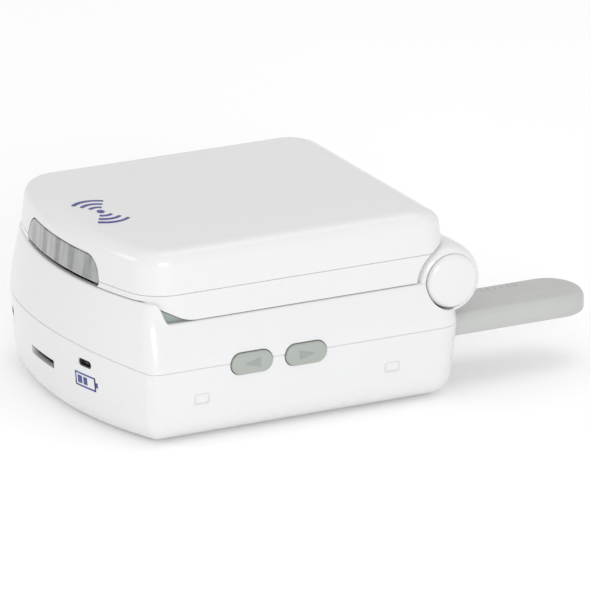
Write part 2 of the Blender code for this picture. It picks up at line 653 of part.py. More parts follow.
def build_sockets(parent):
    """Charge socket, card reader and earphone jack, each behind its opening in the bowed front."""
    front = FRONT_Y + 0.0044
    back = front + 0.0060
    half_x = 0.0037
    half_z = 0.00135
    shell = body("charge_socket", prism(rounded(CHARGE_X - half_x, CHARGE_X + half_x, CHARGE_Z - half_z,
                                                CHARGE_Z + half_z, 0.0008), front, back, "Y"))
    cut(shell, prism(rounded(CHARGE_X - half_x + 0.0004, CHARGE_X + half_x - 0.0004, CHARGE_Z - half_z + 0.0004,
                             CHARGE_Z + half_z - 0.0004, 0.0005), front - 0.001, back - 0.001, "Y"))
    add(shell, box(CHARGE_X - 0.0019, CHARGE_X + 0.0019, front + 0.0012, back - 0.0005, CHARGE_Z - 0.0003,
                   CHARGE_Z + 0.0004))
    finish(shell, "steel", parent)

    reader_top = MAIN_BOARD_Z - GAP
    reader_low = CARD_TOP_Z - 0.0033
    face = FRONT_Y + WALL + 0.0045
    reader = body("card_reader", box(CARD_X - 0.0090, CARD_X + 0.0090, face, face + 0.0140, reader_low, reader_top))
    cut(reader, box(CARD_X - 0.0065, CARD_X + 0.0065, face - 0.001, face + 0.0125, CARD_TOP_Z - 0.0019,
                    CARD_TOP_Z - 0.0009))
    finish(reader, "black_plastic", parent)

    jack = body("earphone_jack", cylinder((JACK_X, JACK_Z), 0.0024, FRONT_Y + 0.0150, FRONT_Y + 0.0250, "Y", 16))
    cut(jack, cylinder((JACK_X, JACK_Z), 0.0015, FRONT_Y + 0.0140, FRONT_Y + 0.0235, "Y", 12))
    finish(jack, "black_plastic", parent)


# ---------------------------------------------------------------- hinge
def build_hinge(base, lid):
    for name, side in (("right", 1), ("left", -1)):
        web = EAR_INNER_X + 0.0025
        spindle = [(PIN_RADIUS, side * (EAR_INNER_X - 0.0100)), (PIN_RADIUS, side * (web + GAP)),
                   (PIN_RADIUS + 0.003, side * (web + GAP)), (PIN_RADIUS + 0.003, side * (web + 0.0025))]
        made = body("hinge_spindle_" + name, turned((HINGE_Y, HINGE_Z), spindle, "X"))
        finish(made, "steel", base)
        cap = [(CAP_RADIUS - 0.0010, side * (EAR_OUTER_X - 0.0045)), (CAP_RADIUS, side * (EAR_OUTER_X - 0.004)),
               (CAP_RADIUS, side * (EAR_OUTER_X + CAP_PROUD - 0.0016)),
               (CAP_RADIUS - 0.0010, side * (EAR_OUTER_X + CAP_PROUD - 0.0006)),
               (CAP_RADIUS - 0.0045, side * (EAR_OUTER_X + CAP_PROUD))]
        made = body("hinge_cap_" + name, turned((HINGE_Y, HINGE_Z), cap, "X", 32))
        finish(made, "white_plastic", base)
        bush_out = EAR_INNER_X - 0.0012
        bush_in = bush_out - 0.0080
        made = body("hinge_bush_" + name, hinge_line(KNUCKLE_RADIUS - WALL - GAP, *sorted((side * bush_in,
                                                     side * bush_out)), steps=32))
        cut(made, hinge_line(PIN_RADIUS + GAP, *sorted((side * (bush_in - 0.001), side * (bush_out + 0.001))),
                             steps=16))
        finish(made, "brass", lid)


# ---------------------------------------------------------------- lid
def lid_front_clearance():
    """Side view of what the lid leaves free above the base's front wall, sloping up from its flat underside."""
    start_y = FRONT_Y + 0.0317
    crest_y = FRONT_Y + 0.0139
    crest_z = FRONT_RIM_Z + SLIDE_GAP
    under = LID_BOTTOM_Z - 0.001
    rise = crest_z - LID_BOTTOM_Z
    slope = []
    for along_share, up_share in ((0.0, 0.0), (0.21, 0.07), (0.41, 0.27), (0.66, 0.57), (0.83, 0.80), (0.93, 0.95)):
        slope.append((start_y + (crest_y - start_y) * along_share, LID_BOTTOM_Z + rise * up_share))
    return [(start_y, under)] + slope + [(crest_y, crest_z), (FRONT_Y - 0.01, crest_z), (FRONT_Y - 0.01, under)]


def ear_clearances():
    """The two rounds that the lid leaves free for the base's ears."""
    reach = BODY_HALF_WIDTH
    inner = EAR_INNER_X - GAP
    return [hinge_line(EAR_RADIUS + SLIDE_GAP, *sorted((side * inner, side * reach))) for side in (-1, 1)]


def lens_outline(extra):
    """Front view of the signal lens: narrow at the top, with slanted, rounded ends."""
    low = FRONT_RIM_Z + SLIDE_GAP + 0.0003 - extra
    top = LENS_TOP_Z + extra
    half_top = 0.0225 + extra
    half_low = 0.0300 + extra
    mid_z = low + (top - low) * 0.55
    right = [(half_low, low), (half_low - 0.0006, low + (top - low) * 0.25), (half_low - 0.0022, mid_z),
             (half_top + 0.0020, top - 0.0016), (half_top, top)]
    return right + [(-x, z) for x, z in reversed(right)]


def lid_shell_sections(inset, crown=0.0003):
    """The lid cover's outer or inner surface, from its seam to its crowned top."""
    fillet = LID_FILLET - min(inset, LID_FILLET - 0.001)
    top = LID_TOP_Z - inset
    sections = [(lid_plan(inset), LID_SEAM_Z + GAP)]
    draft = inset + 0.0010
    rear = LID_REAR_FILLET - LID_FILLET
    steps = 4
    for step in range(steps + 1):
        turn = math.pi / 2 * step / steps
        inward = 1 - math.cos(turn)
        outline = lid_plan(draft + fillet * inward, rear * inward)
        sections.append((outline, top - fillet + fillet * math.sin(turn)))
    sections.append((lid_plan(draft + fillet + 0.012, rear), top + crown))
    return sections


def lid_outer_cover(parent):
    made = body("lid_outer_cover", loft(lid_shell_sections(0.0)))
    inner = lid_shell_sections(WALL)
    inner[0] = (inner[0][0], LID_SEAM_Z - 0.001)
    cut(made, loft(inner))
    for side in (-1, 1):
        for y in LID_POST_Y:
            place = (side * LID_POST_X, y)
            add(made, cylinder(place, 0.0030, LID_SEAM_Z + 2 * GAP, LID_TOP_Z - 0.0008, steps=16))
            cut(made, cylinder(place, 0.0014, LID_SEAM_Z - 0.001, LID_SEAM_Z + 0.0090, steps=12))
    cut(made, *ear_clearances())
    cut(made, hinge_line(KNUCKLE_RADIUS + GAP, -EAR_INNER_X, EAR_INNER_X))
    cut(made, prism(lens_outline(GAP), LID_FRONT_Y - 0.01, LID_FRONT_Y + 0.0120, "Y"))
    return finish(made, "white_plastic", parent)


def lid_screen_bezel(parent):
    plate_top = LID_BOTTOM_Z + WALL
    made = body("lid_screen_bezel", prism(lid_plan(0.0), LID_BOTTOM_Z, LID_SEAM_Z))
    cut(made, *ear_clearances())
    edge = LID_FRONT_Y + 0.0260
    rear = HINGE_Y - KNUCKLE_RADIUS - 0.0012
    # The hollow: deep behind the front slope, shallow over it
    deep = body("hollow", prism(lid_plan(WALL), plate_top, LID_SEAM_Z + 0.002))
    keep(deep, box(-0.2, 0.2, edge, rear, 0.0, 0.2))
    cut(made, bmesh_of(deep))
    cut(made, prism(lid_front_clearance(), -0.2, 0.2, "X"))
    shallow = body("hollow", prism(lid_plan(WALL), FRONT_RIM_Z + SLIDE_GAP + 0.0008, LID_SEAM_Z + 0.002))
    keep(shallow, box(-0.2, 0.2, LID_FRONT_Y + 0.0150, edge + 0.001, 0.0, 0.2))
    cut(made, bmesh_of(shallow))
    knuckle = EAR_INNER_X - GAP
    add(made, hinge_line(KNUCKLE_RADIUS, -knuckle, knuckle))
    cut(made, hinge_line(KNUCKLE_RADIUS - WALL, -knuckle - 0.001, knuckle + 0.001))
    # Screen window: a recess from below and an opening through the plate
    half_x = SCREEN_WIDTH / 2
    half_y = SCREEN_LENGTH / 2
    cut(made, box(-half_x - 0.0025, half_x + 0.0025, SCREEN_Y - half_y - 0.0015, SCREEN_Y + half_y + 0.0015,
                  LID_BOTTOM_Z - 0.001, LID_BOTTOM_Z + 0.0013))
    cut(made, box(-half_x + 0.002, half_x - 0.002, SCREEN_Y - half_y + 0.002, SCREEN_Y + half_y - 0.002,
                  LID_BOTTOM_Z, plate_top + 0.001))
    for side in (-1, 1):
        for y in LID_POST_Y:
            place = (side * LID_POST_X, y)
            add(made, cylinder(place, 0.0036, plate_top - 0.0005, LID_SEAM_Z - GAP, steps=16))
            cut(made, cylinder(place, 0.0024, LID_BOTTOM_Z - 0.001, LID_BOTTOM_Z + 0.0024, steps=16))
            cut(made, cylinder(place, 0.0014, LID_BOTTOM_Z, LID_SEAM_Z + 0.001, steps=12))
    cut(made, prism(lens_outline(GAP), LID_FRONT_Y - 0.01, LID_FRONT_Y + 0.0120, "Y"))
    return finish(made, "white_plastic", parent)


def signal_lens(parent):
    """The curved grey window in the lid's front, with shallow ribs on its inner face."""
    made = body("signal_lens", loft(lid_lens_sections()))
    keep(made, prism(lens_outline(0.0), LID_FRONT_Y - 0.01, LID_FRONT_Y + 0.0120, "Y"))
    cut(made, prism(lid_plan(LENS_THICKNESS), FRONT_RIM_Z - 0.004, LID_TOP_Z + 0.002))
    return finish(made, "lens_plastic", parent)


def lid_lens_sections():
    """The lid's outer surface carried down past its seam, for the lens to follow."""
    outer = lid_shell_sections(0.0)
    return [(lid_plan(0.0), FRONT_RIM_Z - 0.002)] + outer


def build_lid_inside(parent):
    half_x = SCREEN_WIDTH / 2
    half_y = SCREEN_LENGTH / 2
    window_low = LID_BOTTOM_Z + 0.0001
    window = box(-half_x - 0.0022, half_x + 0.0022, SCREEN_Y - half_y - 0.0012, SCREEN_Y + half_y + 0.0012,
                 window_low, window_low + 0.0009)
    finish(body("screen_window", window), "screen_glass", parent)
    panel_low = LID_BOTTOM_Z + WALL + GAP
    panel = box(-half_x, half_x, SCREEN_Y - half_y, SCREEN_Y + half_y, panel_low, panel_low + 0.0030)
    finish(body("lcd_panel", panel), "black_plastic", parent)
    board_low = LID_SEAM_Z + 0.0008
    board_x = LID_POST_X - 0.0045
    board = box(-board_x, board_x, LID_FRONT_Y + 0.0180, HINGE_Y - 0.0120, board_low, board_low + BOARD_THICKNESS)
    finish(body("display_board", board), "board", parent)
    lamp_y = LID_FRONT_Y + 0.0092
    lamp = box(-0.0210, 0.0210, lamp_y, lamp_y + 0.0012, LID_SEAM_Z + 0.0010, LENS_TOP_Z)
    finish(body("lamp_board", lamp), "board", parent)
    strip = body("signal_led_strip", box(-0.0190, 0.0190, lamp_y - GAP - 0.0006, lamp_y - GAP,
                                         LID_SEAM_Z + 0.0035, LID_SEAM_Z + 0.0060))
    for step in range(-2, 3):
        x = step * 0.0085
        add(strip, box(x - 0.0014, x + 0.0014, lamp_y - GAP - 0.0014, lamp_y - GAP - 0.0003,
                       LID_SEAM_Z + 0.0033, LID_SEAM_Z + 0.0062))
    finish(strip, "lens_plastic", parent)
    for step, side in (("right", 1), ("left", -1)):
        for row, y in zip(("front", "rear"), LID_POST_Y):
            head_low = LID_BOTTOM_Z + 0.0003
            head_top = LID_BOTTOM_Z + 0.0024 - GAP
            profile = [(0.0017, head_low), (0.0021, head_low + 0.0004), (0.0021, head_top), (0.0011, head_top),
                       (0.0011, LID_SEAM_Z + 0.0080)]
            screw = body("lid_screw_" + row + "_" + step, turned((side * LID_POST_X, y), profile, steps=16))
            finish(screw, "steel", parent)
        pad_top = LID_BOTTOM_Z - GAP
        pad = cylinder((side * (LID_HALF_WIDTH - 0.0065), LID_POST_Y[0] + 0.0150), 0.0022, DECK_TOP_Z + GAP, pad_top,
                       steps=16)
        finish(body("lid_pad_" + step, pad), "foot_rubber", parent)


# ---------------------------------------------------------------- aerial
def aerial_plan(inset):
    """Plan of the aerial paddle: round about its pivot, straight sides and a round tip."""
    half = AERIAL_HALF - inset
    tip = AERIAL_HALF * 0.97
    root = arc((AERIAL_X, AERIAL_Y), half, math.pi, 2 * math.pi, 10)
    tip_centre = AERIAL_TIP_Y - tip
    far = [(AERIAL_X + half * math.cos(t), tip_centre + (tip - inset) * math.sin(t))
           for t in [math.pi * step / 10 for step in range(11)]]
    return root + far


def aerial_hollow(low, high):
    half = AERIAL_HALF - 0.0022
    return prism(rounded(AERIAL_X - half, AERIAL_X + half, AERIAL_Y + 0.0080, AERIAL_TIP_Y - 0.0100, 0.003), low, high)


def build_aerial(base, aerial):
    split = (AERIAL_LOW_Z + AERIAL_TOP_Z) / 2
    edge = 0.0018
    half_gap = GAP / 2
    upper_sections = [(aerial_plan(0.0), split + half_gap)]
    lower_sections = [(aerial_plan(0.0), split - half_gap)]
    for step in range(3):
        turn = math.pi / 2 * step / 2
        inset = edge * (1 - math.cos(turn))
        rise = edge * math.sin(turn)
        upper_sections.append((aerial_plan(inset), AERIAL_TOP_Z - edge + rise))
        lower_sections.append((aerial_plan(inset), AERIAL_LOW_Z + edge - rise))
    pin_hole = (AERIAL_X, AERIAL_Y)
    upper = body("aerial_upper_shell", loft(upper_sections))
    lower = body("aerial_lower_shell", loft(lower_sections))
    cut(upper, aerial_hollow(split - 0.001, AERIAL_TOP_Z - 0.0016))
    cut(lower, aerial_hollow(AERIAL_LOW_Z + 0.0016, split + 0.001))
    for shell in (upper, lower):
        cut(shell, cylinder(pin_hole, 0.0020 + GAP, AERIAL_LOW_Z - 0.001, AERIAL_TOP_Z + 0.001, steps=16))
        finish(shell, "grey_plastic", aerial)
    element = box(AERIAL_X - 0.0080, AERIAL_X + 0.0080, AERIAL_Y + 0.0090, AERIAL_TIP_Y - 0.0120, split - 0.0005,
                  split + 0.0005)
    finish(body("aerial_element", element), "brass", aerial)
    pin = cylinder(pin_hole, 0.0020, POCKET_FLOOR_Z - 0.0014 + GAP, CASE_GAP_Z + 0.0014 - GAP, steps=16)
    finish(body("aerial_pivot_pin", pin), "steel", base)


# ---------------------------------------------------------------- the whole object
def main():
    for made in list(bpy.data.objects):
        bpy.data.objects.remove(made)
    root = empty("folding_monitor", (0.0, 0.0, 0.0))
    root.location = (-CENTRE_X, -CENTRE_Y, 0.0)
    lid = empty("lid_hinge_axis", (0.0, HINGE_Y, HINGE_Z), root)
    aerial = empty("aerial_pivot_axis", (AERIAL_X, AERIAL_Y, SEAM_Z), root)
    base_lower_casing(root)
    base_upper_casing(root)
    build_feet(root)
    build_casing_screws(root)
    keypad_deck(root)
    build_deck_keys(root)
    build_under_deck(root)
    build_side_keys(root)
    build_battery(root)
    build_main_board(root)
    build_sockets(root)
    build_hinge(root, lid)
    lid_outer_cover(lid)
    lid_screen_bezel(lid)
    signal_lens(lid)
    build_lid_inside(lid)
    build_aerial(root, aerial)


main()
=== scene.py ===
import json
import math
import bmesh
import bpy
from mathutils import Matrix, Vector


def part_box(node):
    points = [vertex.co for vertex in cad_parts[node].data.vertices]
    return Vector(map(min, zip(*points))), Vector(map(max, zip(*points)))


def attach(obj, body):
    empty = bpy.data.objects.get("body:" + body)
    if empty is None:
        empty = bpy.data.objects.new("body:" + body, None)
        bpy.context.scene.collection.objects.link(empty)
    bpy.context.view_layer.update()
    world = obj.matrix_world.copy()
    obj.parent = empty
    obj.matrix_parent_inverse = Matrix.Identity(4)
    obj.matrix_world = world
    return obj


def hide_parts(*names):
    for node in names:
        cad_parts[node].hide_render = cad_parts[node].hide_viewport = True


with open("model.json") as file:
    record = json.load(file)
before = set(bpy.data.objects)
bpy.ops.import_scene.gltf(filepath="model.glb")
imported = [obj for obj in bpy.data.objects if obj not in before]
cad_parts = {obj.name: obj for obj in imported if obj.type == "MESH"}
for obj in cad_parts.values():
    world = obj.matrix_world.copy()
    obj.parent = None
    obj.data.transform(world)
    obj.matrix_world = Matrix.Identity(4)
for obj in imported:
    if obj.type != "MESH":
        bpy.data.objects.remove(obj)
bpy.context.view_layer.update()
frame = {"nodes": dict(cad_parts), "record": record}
nodes = frame["nodes"]

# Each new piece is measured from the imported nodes, so it follows them if they change
baseLow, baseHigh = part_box("base_lower_casing")
lidLow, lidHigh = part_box("lid_outer_cover")
capLow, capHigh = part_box("hinge_cap_right")
deckLow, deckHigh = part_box("keypad_deck")
lensLow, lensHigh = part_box("signal_lens")
aerialLow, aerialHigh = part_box("aerial_upper_shell")
paddleLow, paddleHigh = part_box("aerial_lower_shell")
middleX = (baseLow[0] + baseHigh[0]) / 2
earOuterX = lidHigh[0] + 0.0001 - middleX
hingeY = (capLow[1] + capHigh[1]) / 2
hingeZ = (capLow[2] + capHigh[2]) / 2


def middleOf(box):
    return [(a + b) / 2 for a, b in zip(*box)]


# ---- outlines, all as lists of (u, v)
def arcPoints(centre, radius, start, end, steps):
    turns = [start + (end - start) * step / steps for step in range(steps + 1)]
    return [(centre[0] + radius * math.cos(t), centre[1] + radius * math.sin(t)) for t in turns]


def circlePoints(centre, radius, steps=64):
    return arcPoints(centre, radius, 0.0, 2 * math.pi * (steps - 1) / steps, steps - 1)


def roundedBox(lowU, highU, lowV, highV, radius, steps=8):
    centres = [(highU - radius, lowV + radius), (highU - radius, highV - radius),
               (lowU + radius, highV - radius), (lowU + radius, lowV + radius)]
    outline = []
    for turn, centre in enumerate(centres):
        start = math.pi / 2 * (turn - 1)
        outline += arcPoints(centre, radius, start, start + math.pi / 2, steps)
    return outline


def roundedAt(centre, halfU, halfV, radius):
    return roundedBox(centre[0] - halfU, centre[0] + halfU, centre[1] - halfV, centre[1] + halfV, radius)


def stadiumPoints(centre, length, height, steps=20):
    reach = (length - height) / 2
    right = arcPoints((centre[0] + reach, centre[1]), height / 2, -math.pi / 2, math.pi / 2, steps)
    left = arcPoints((centre[0] - reach, centre[1]), height / 2, math.pi / 2, 3 * math.pi / 2, steps)
    return right + left


def bowedPlan(halfWidth, front, rear, frontCorner, rearCorner, bow):
    # straight sides and rear, a bowed front and four round corners
    centreY = front + bow
    cornerX = halfWidth - frontCorner
    cornerY = centreY - math.sqrt((bow - frontCorner) ** 2 - cornerX ** 2)
    meet = math.atan2(cornerY - centreY, cornerX)
    right = arcPoints((0.0, centreY), bow, -math.pi / 2, meet, 22)[:-1]
    right += arcPoints((cornerX, cornerY), frontCorner, meet, 0.0, 12)
    rearStart = rear - rearCorner
    # the side has closer points near the front, where the rim climbs
    nearLength = 0.020
    farStart = cornerY + nearLength
    right += [(halfWidth, cornerY + nearLength * step / 26) for step in range(1, 27)]
    right += [(halfWidth, farStart + (rearStart - farStart) * step / 16) for step in range(1, 16)]
    right += arcPoints((halfWidth - rearCorner, rearStart), rearCorner, 0.0, math.pi / 2, 14)
    right += [((halfWidth - rearCorner) * (1 - step / 6), rear) for step in range(1, 6)]
    left = [(-x, y) for x, y in reversed(right[1:])]
    return [(x + middleX, y) for x, y in right] + [(middleX, rear)] + [(x + middleX, y) for x, y in left]


# ---- mesh building
sharpLimit = 32


def makePiece(name, mesh, sharpAngle=sharpLimit):
    data = bpy.data.meshes.new(name)
    bmesh.ops.recalc_face_normals(mesh, faces=mesh.faces)
    mesh.to_mesh(data)
    mesh.free()
    piece = bpy.data.objects.new(name, data)
    bpy.context.scene.collection.objects.link(piece)
    data.shade_smooth()
    data.set_sharp_from_angle(angle=math.radians(sharpAngle))
    return piece


def ringsMesh(rings, closed=False):
    # rings of 3D points joined in order; closed joins the last to the first, else both ends are filled
    mesh = bmesh.new()
    rows = [[mesh.verts.new(point) for point in ring] for ring in rings]
    count = len(rows[0])
    pairs = list(zip(rows, rows[1:]))
    if closed:
        pairs.append((rows[-1], rows[0]))
    for low, high in pairs:
        for first in range(count):
            second = (first + 1) % count
            mesh.faces.new((low[first], low[second], high[second], high[first]))
    if not closed:
        mesh.faces.new(list(reversed(rows[0])))
        mesh.faces.new(rows[-1])
    return mesh


def along(point, place, axis):
    u, v = point
    return {"X": (place, u, v), "Y": (u, place, v), "Z": (u, v, place)}[axis]


def loftMesh(sections, axis="Z"):
    return ringsMesh([[along(point, place, axis) for point in outline] for outline, place in sections])


def prismMesh(outline, low, high, axis="Z"):
    return loftMesh([(outline, low), (outline, high)], axis)


def boxMesh(lowX, highX, lowY, highY, lowZ, highZ):
    outline = [(lowX, lowY), (highX, lowY), (highX, highY), (lowX, highY)]
    return prismMesh(outline, lowZ, highZ)


def hingeMesh(profile, steps=96):
    # a turned shape about the hinge line, from (radius, x) pairs
    return loftMesh([(circlePoints((hingeY, hingeZ), radius, steps), x) for radius, x in profile], "X")


def combine(piece, mesh, operation):
    tool = makePiece("tool", mesh)
    change = piece.modifiers.new(operation, "BOOLEAN")
    change.operation = operation
    change.object = tool
    evaluated = piece.evaluated_get(bpy.context.evaluated_depsgraph_get())
    result = bpy.data.meshes.new_from_object(evaluated)
    piece.modifiers.clear()
    old = piece.data
    piece.data = result
    bpy.data.meshes.remove(old)
    toolData = tool.data
    bpy.data.objects.remove(tool)
    bpy.data.meshes.remove(toolData)
    result.shade_smooth()
    result.set_sharp_from_angle(angle=math.radians(sharpLimit))


def cutAway(piece, *meshes):
    for mesh in meshes:
        combine(piece, mesh, "DIFFERENCE")


def joinOn(piece, *meshes):
    for mesh in meshes:
        combine(piece, mesh, "UNION")


def softenEdges(piece, width, segments=3, angle=30):
    bevel = piece.modifiers.new("softened edges", "BEVEL")
    bevel.width = width
    bevel.segments = segments
    bevel.limit_method = "ANGLE"
    bevel.angle_limit = math.radians(angle)
    evenShading(piece)


def evenShading(piece):
    normals = piece.modifiers.new("even shading", "WEIGHTED_NORMAL")
    normals.keep_sharp = True
    normals.weight = 60


# ---- shader groups: each gives colours, masks, values and normals only
def newGroup(name, inputs, outputs):
    group = bpy.data.node_groups.new(name, "ShaderNodeTree")
    for socketName, kind, value in inputs:
        socket = group.interface.new_socket(name=socketName, in_out="INPUT", socket_type=kind)
        socket.default_value = value
    for socketName, kind in outputs:
        group.interface.new_socket(name=socketName, in_out="OUTPUT", socket_type=kind)
    return group, group.nodes.new("NodeGroupInput"), group.nodes.new("NodeGroupOutput")


def wire(tree, start, end):
    tree.links.new(start, end)


def addNode(tree, kind, **settings):
    node = tree.nodes.new(kind)
    for key, value in settings.items():
        setattr(node, key, value)
    return node


def addNoise(tree, vector, scale, detail=3.0, roughness=0.5):
    noise = addNode(tree, "ShaderNodeTexNoise")
    noise.inputs["Scale"].default_value = scale
    noise.inputs["Detail"].default_value = detail
    noise.inputs["Roughness"].default_value = roughness
    wire(tree, vector, noise.inputs["Vector"])
    return noise.outputs["Fac"]


def addRange(tree, value, fromLow, fromHigh, toLow, toHigh):
    node = addNode(tree, "ShaderNodeMapRange")
    for key, number in (("From Min", fromLow), ("From Max", fromHigh), ("To Min", toLow), ("To Max", toHigh)):
        node.inputs[key].default_value = number
    wire(tree, value, node.inputs["Value"])
    return node.outputs["Result"]


def addMath(tree, operation, first, second):
    node = addNode(tree, "ShaderNodeMath", operation=operation)
    for socket, value in zip(node.inputs, (first, second)):
        if isinstance(value, (int, float)):
            socket.default_value = value
        else:
            wire(tree, value, socket)
    return node.outputs[0]


def addMix(tree, factor, first, second):
    node = addNode(tree, "ShaderNodeMix", data_type="RGBA")
    for socket, value in ((node.inputs[0], factor), (node.inputs[6], first), (node.inputs[7], second)):
        if isinstance(value, (int, float, tuple)):
            socket.default_value = value
        else:
            wire(tree, value, socket)
    return node.outputs[2]


def addBump(tree, height, strength, distance, shader):
    bump = addNode(tree, "ShaderNodeBump")
    bump.inputs["Strength"].default_value = strength
    bump.inputs["Distance"].default_value = distance
    wire(tree, height, bump.inputs["Height"])
    wire(tree, bump.outputs["Normal"], shader.inputs["Normal"])


def buildMouldedGroup():
    # fine moulding texture, slow tone drift and a few handling marks, all in metres on the piece
    group, inlet, outlet = newGroup(
        "moulded surface",
        [("Tone", "NodeSocketColor", (0.8, 0.8, 0.8, 1.0)),
         ("Drift Tone", "NodeSocketColor", (0.7, 0.7, 0.7, 1.0)),
         ("Drift", "NodeSocketFloat", 0.5), ("Grain Scale", "NodeSocketFloat", 2600.0),
         ("Base Roughness", "NodeSocketFloat", 0.35), ("Roughness Spread", "NodeSocketFloat", 0.08)],
        [("Colour", "NodeSocketColor"), ("Roughness", "NodeSocketFloat"), ("Height", "NodeSocketFloat")])
    place = addNode(group, "ShaderNodeTexCoord").outputs["Object"]
    slow = addNoise(group, place, 34.0, 2.0)
    mid = addNoise(group, place, 260.0, 4.0)
    drift = addMath(group, "MULTIPLY", addRange(group, slow, 0.32, 0.68, 0.0, 1.0), inlet.outputs["Drift"])
    wire(group, addMix(group, drift, inlet.outputs["Tone"], inlet.outputs["Drift Tone"]),
         outlet.inputs["Colour"])
    marks = addRange(group, mid, 0.35, 0.7, -1.0, 1.0)
    spread = addMath(group, "MULTIPLY", marks, inlet.outputs["Roughness Spread"])
    wire(group, addMath(group, "ADD", spread, inlet.outputs["Base Roughness"]), outlet.inputs["Roughness"])
    fine = addNode(group, "ShaderNodeTexNoise")
    fine.inputs["Detail"].default_value = 2.0
    wire(group, inlet.outputs["Grain Scale"], fine.inputs["Scale"])
    wire(group, place, fine.inputs["Vector"])
    wave = addMath(group, "MULTIPLY", addNoise(group, place, 55.0, 1.0), 0.6)
    wire(group, addMath(group, "ADD", fine.outputs["Fac"], wave), outlet.inputs["Height"])
    return group


def buildEdgeHighlightGroup():
    # a mask that is 1 along convex edges and 0 on open surface, used to paint a highlight on those edges
    group, inlet, outlet = newGroup(
        "painted edge highlight", [("Sharpness", "NodeSocketFloat", 6.0), ("Breakup", "NodeSocketFloat", 0.5)],
        [("Mask", "NodeSocketFloat")])
    place = addNode(group, "ShaderNodeTexCoord").outputs["Object"]
    point = addNode(group, "ShaderNodeNewGeometry").outputs["Pointiness"]
    edge = addMath(group, "MULTIPLY", addMath(group, "SUBTRACT", point, 0.5), inlet.outputs["Sharpness"])
    broken = addMath(group, "MULTIPLY", addNoise(group, place, 420.0), inlet.outputs["Breakup"])
    node = addNode(group, "ShaderNodeMath", operation="SUBTRACT", use_clamp=True)
    wire(group, edge, node.inputs[0])
    wire(group, broken, node.inputs[1])
    wire(group, node.outputs[0], outlet.inputs["Mask"])
    return group


mouldedGroup = buildMouldedGroup()
edgeHighlightGroup = buildEdgeHighlightGroup()


def plasticMaterial(name, tone, driftTone, look):
    material = bpy.data.materials.new(name)
    material.use_nodes = True
    tree = material.node_tree
    shader = tree.nodes["Principled BSDF"]
    surface = addNode(tree, "ShaderNodeGroup", node_tree=mouldedGroup)
    surface.inputs["Tone"].default_value = (*tone, 1.0)
    surface.inputs["Drift Tone"].default_value = (*driftTone, 1.0)
    surface.inputs["Drift"].default_value = look.get("drift", 0.5)
    surface.inputs["Grain Scale"].default_value = look.get("grain", 2600.0)
    surface.inputs["Base Roughness"].default_value = look["roughness"]
    surface.inputs["Roughness Spread"].default_value = look.get("spread", 0.05)
    edge = addNode(tree, "ShaderNodeGroup", node_tree=edgeHighlightGroup)
    edge.inputs["Sharpness"].default_value = look.get("edge", 4.0)
    # painted highlight: convex edges get a lighter copy of the tone, whatever the lamps do
    highlightTone = tuple(min(1.0, channel * look.get("edgeHighlightLift", 1.06)) for channel in tone)
    wire(tree, addMix(tree, edge.outputs["Mask"], surface.outputs["Colour"], (*highlightTone, 1.0)),
         shader.inputs["Base Color"])
    wire(tree, surface.outputs["Roughness"], shader.inputs["Roughness"])
    addBump(tree, surface.outputs["Height"], look.get("bump", 0.15), 0.00004, shader)
    shader.inputs["IOR"].default_value = 1.5
    shader.inputs["Metallic"].default_value = look.get("metal", 0.0)
    shader.inputs["Coat Weight"].default_value = look.get("coat", 0.0)
    shader.inputs["Coat Roughness"].default_value = look.get("coatRoughness", 0.1)
    shader.inputs["Subsurface Weight"].default_value = look.get("subsurface", 0.0)
    shader.inputs["Subsurface Scale"].default_value = 0.002
    return material


finishes = {
    "white_casing": plasticMaterial("gloss white shell", (0.74, 0.74, 0.742), (0.725, 0.726, 0.730), {
        "roughness": 0.30, "spread": 0.006, "coat": 0.45, "coatRoughness": 0.08, "bump": 0.012,
        "grain": 420.0,
        "drift": 0.3, "subsurface": 0.05, "edge": 1.2, "edgeHighlightLift": 1.02}),
    "grey_aerial": plasticMaterial("satin grey paddle", (0.50, 0.51, 0.495), (0.46, 0.47, 0.46), {
        "roughness": 0.42, "spread": 0.06, "bump": 0.22, "grain": 3200.0, "coat": 0.08}),
    "deck_grey": plasticMaterial("grey green deck", (0.36, 0.42, 0.39), (0.33, 0.39, 0.365), {
        "roughness": 0.45, "spread": 0.06, "bump": 0.3, "grain": 3400.0}),
    "key_grey": plasticMaterial("soft grey rubber", (0.385, 0.41, 0.38), (0.35, 0.375, 0.35), {
        "roughness": 0.50, "spread": 0.08, "bump": 0.35, "grain": 3800.0, "edgeHighlightLift": 1.25, "edge": 5.0}),
    "foot_grey": plasticMaterial("foot rubber", (0.18, 0.18, 0.18), (0.14, 0.14, 0.14), {
        "roughness": 0.75, "spread": 0.1, "bump": 0.5, "grain": 2200.0}),
    "black_parts": plasticMaterial("satin black", (0.015, 0.015, 0.016), (0.025, 0.025, 0.025), {
        "roughness": 0.45, "bump": 0.25, "grain": 2600.0}),
    "steel": plasticMaterial("plated steel", (0.62, 0.62, 0.63), (0.52, 0.52, 0.53), {
        "roughness": 0.28, "spread": 0.08, "metal": 1.0, "bump": 0.1, "grain": 1800.0}),
    "brass": plasticMaterial("plain brass", (0.72, 0.55, 0.26), (0.60, 0.44, 0.20), {
        "roughness": 0.32, "spread": 0.08, "metal": 1.0, "bump": 0.1}),
    "board_green": plasticMaterial("solder mask", (0.02, 0.14, 0.06), (0.015, 0.10, 0.045), {
        "roughness": 0.35, "coat": 0.3, "bump": 0.4, "grain": 900.0}),
    "battery_blue": plasticMaterial("shrink wrap", (0.04, 0.09, 0.28), (0.03, 0.07, 0.22), {
        "roughness": 0.3, "coat": 0.3, "bump": 0.5, "grain": 300.0}),
    "screen_black": plasticMaterial("screen window", (0.008, 0.008, 0.010), (0.012, 0.012, 0.014), {
        "roughness": 0.06, "spread": 0.02, "coat": 0.6, "coatRoughness": 0.03, "bump": 0.02}),
}
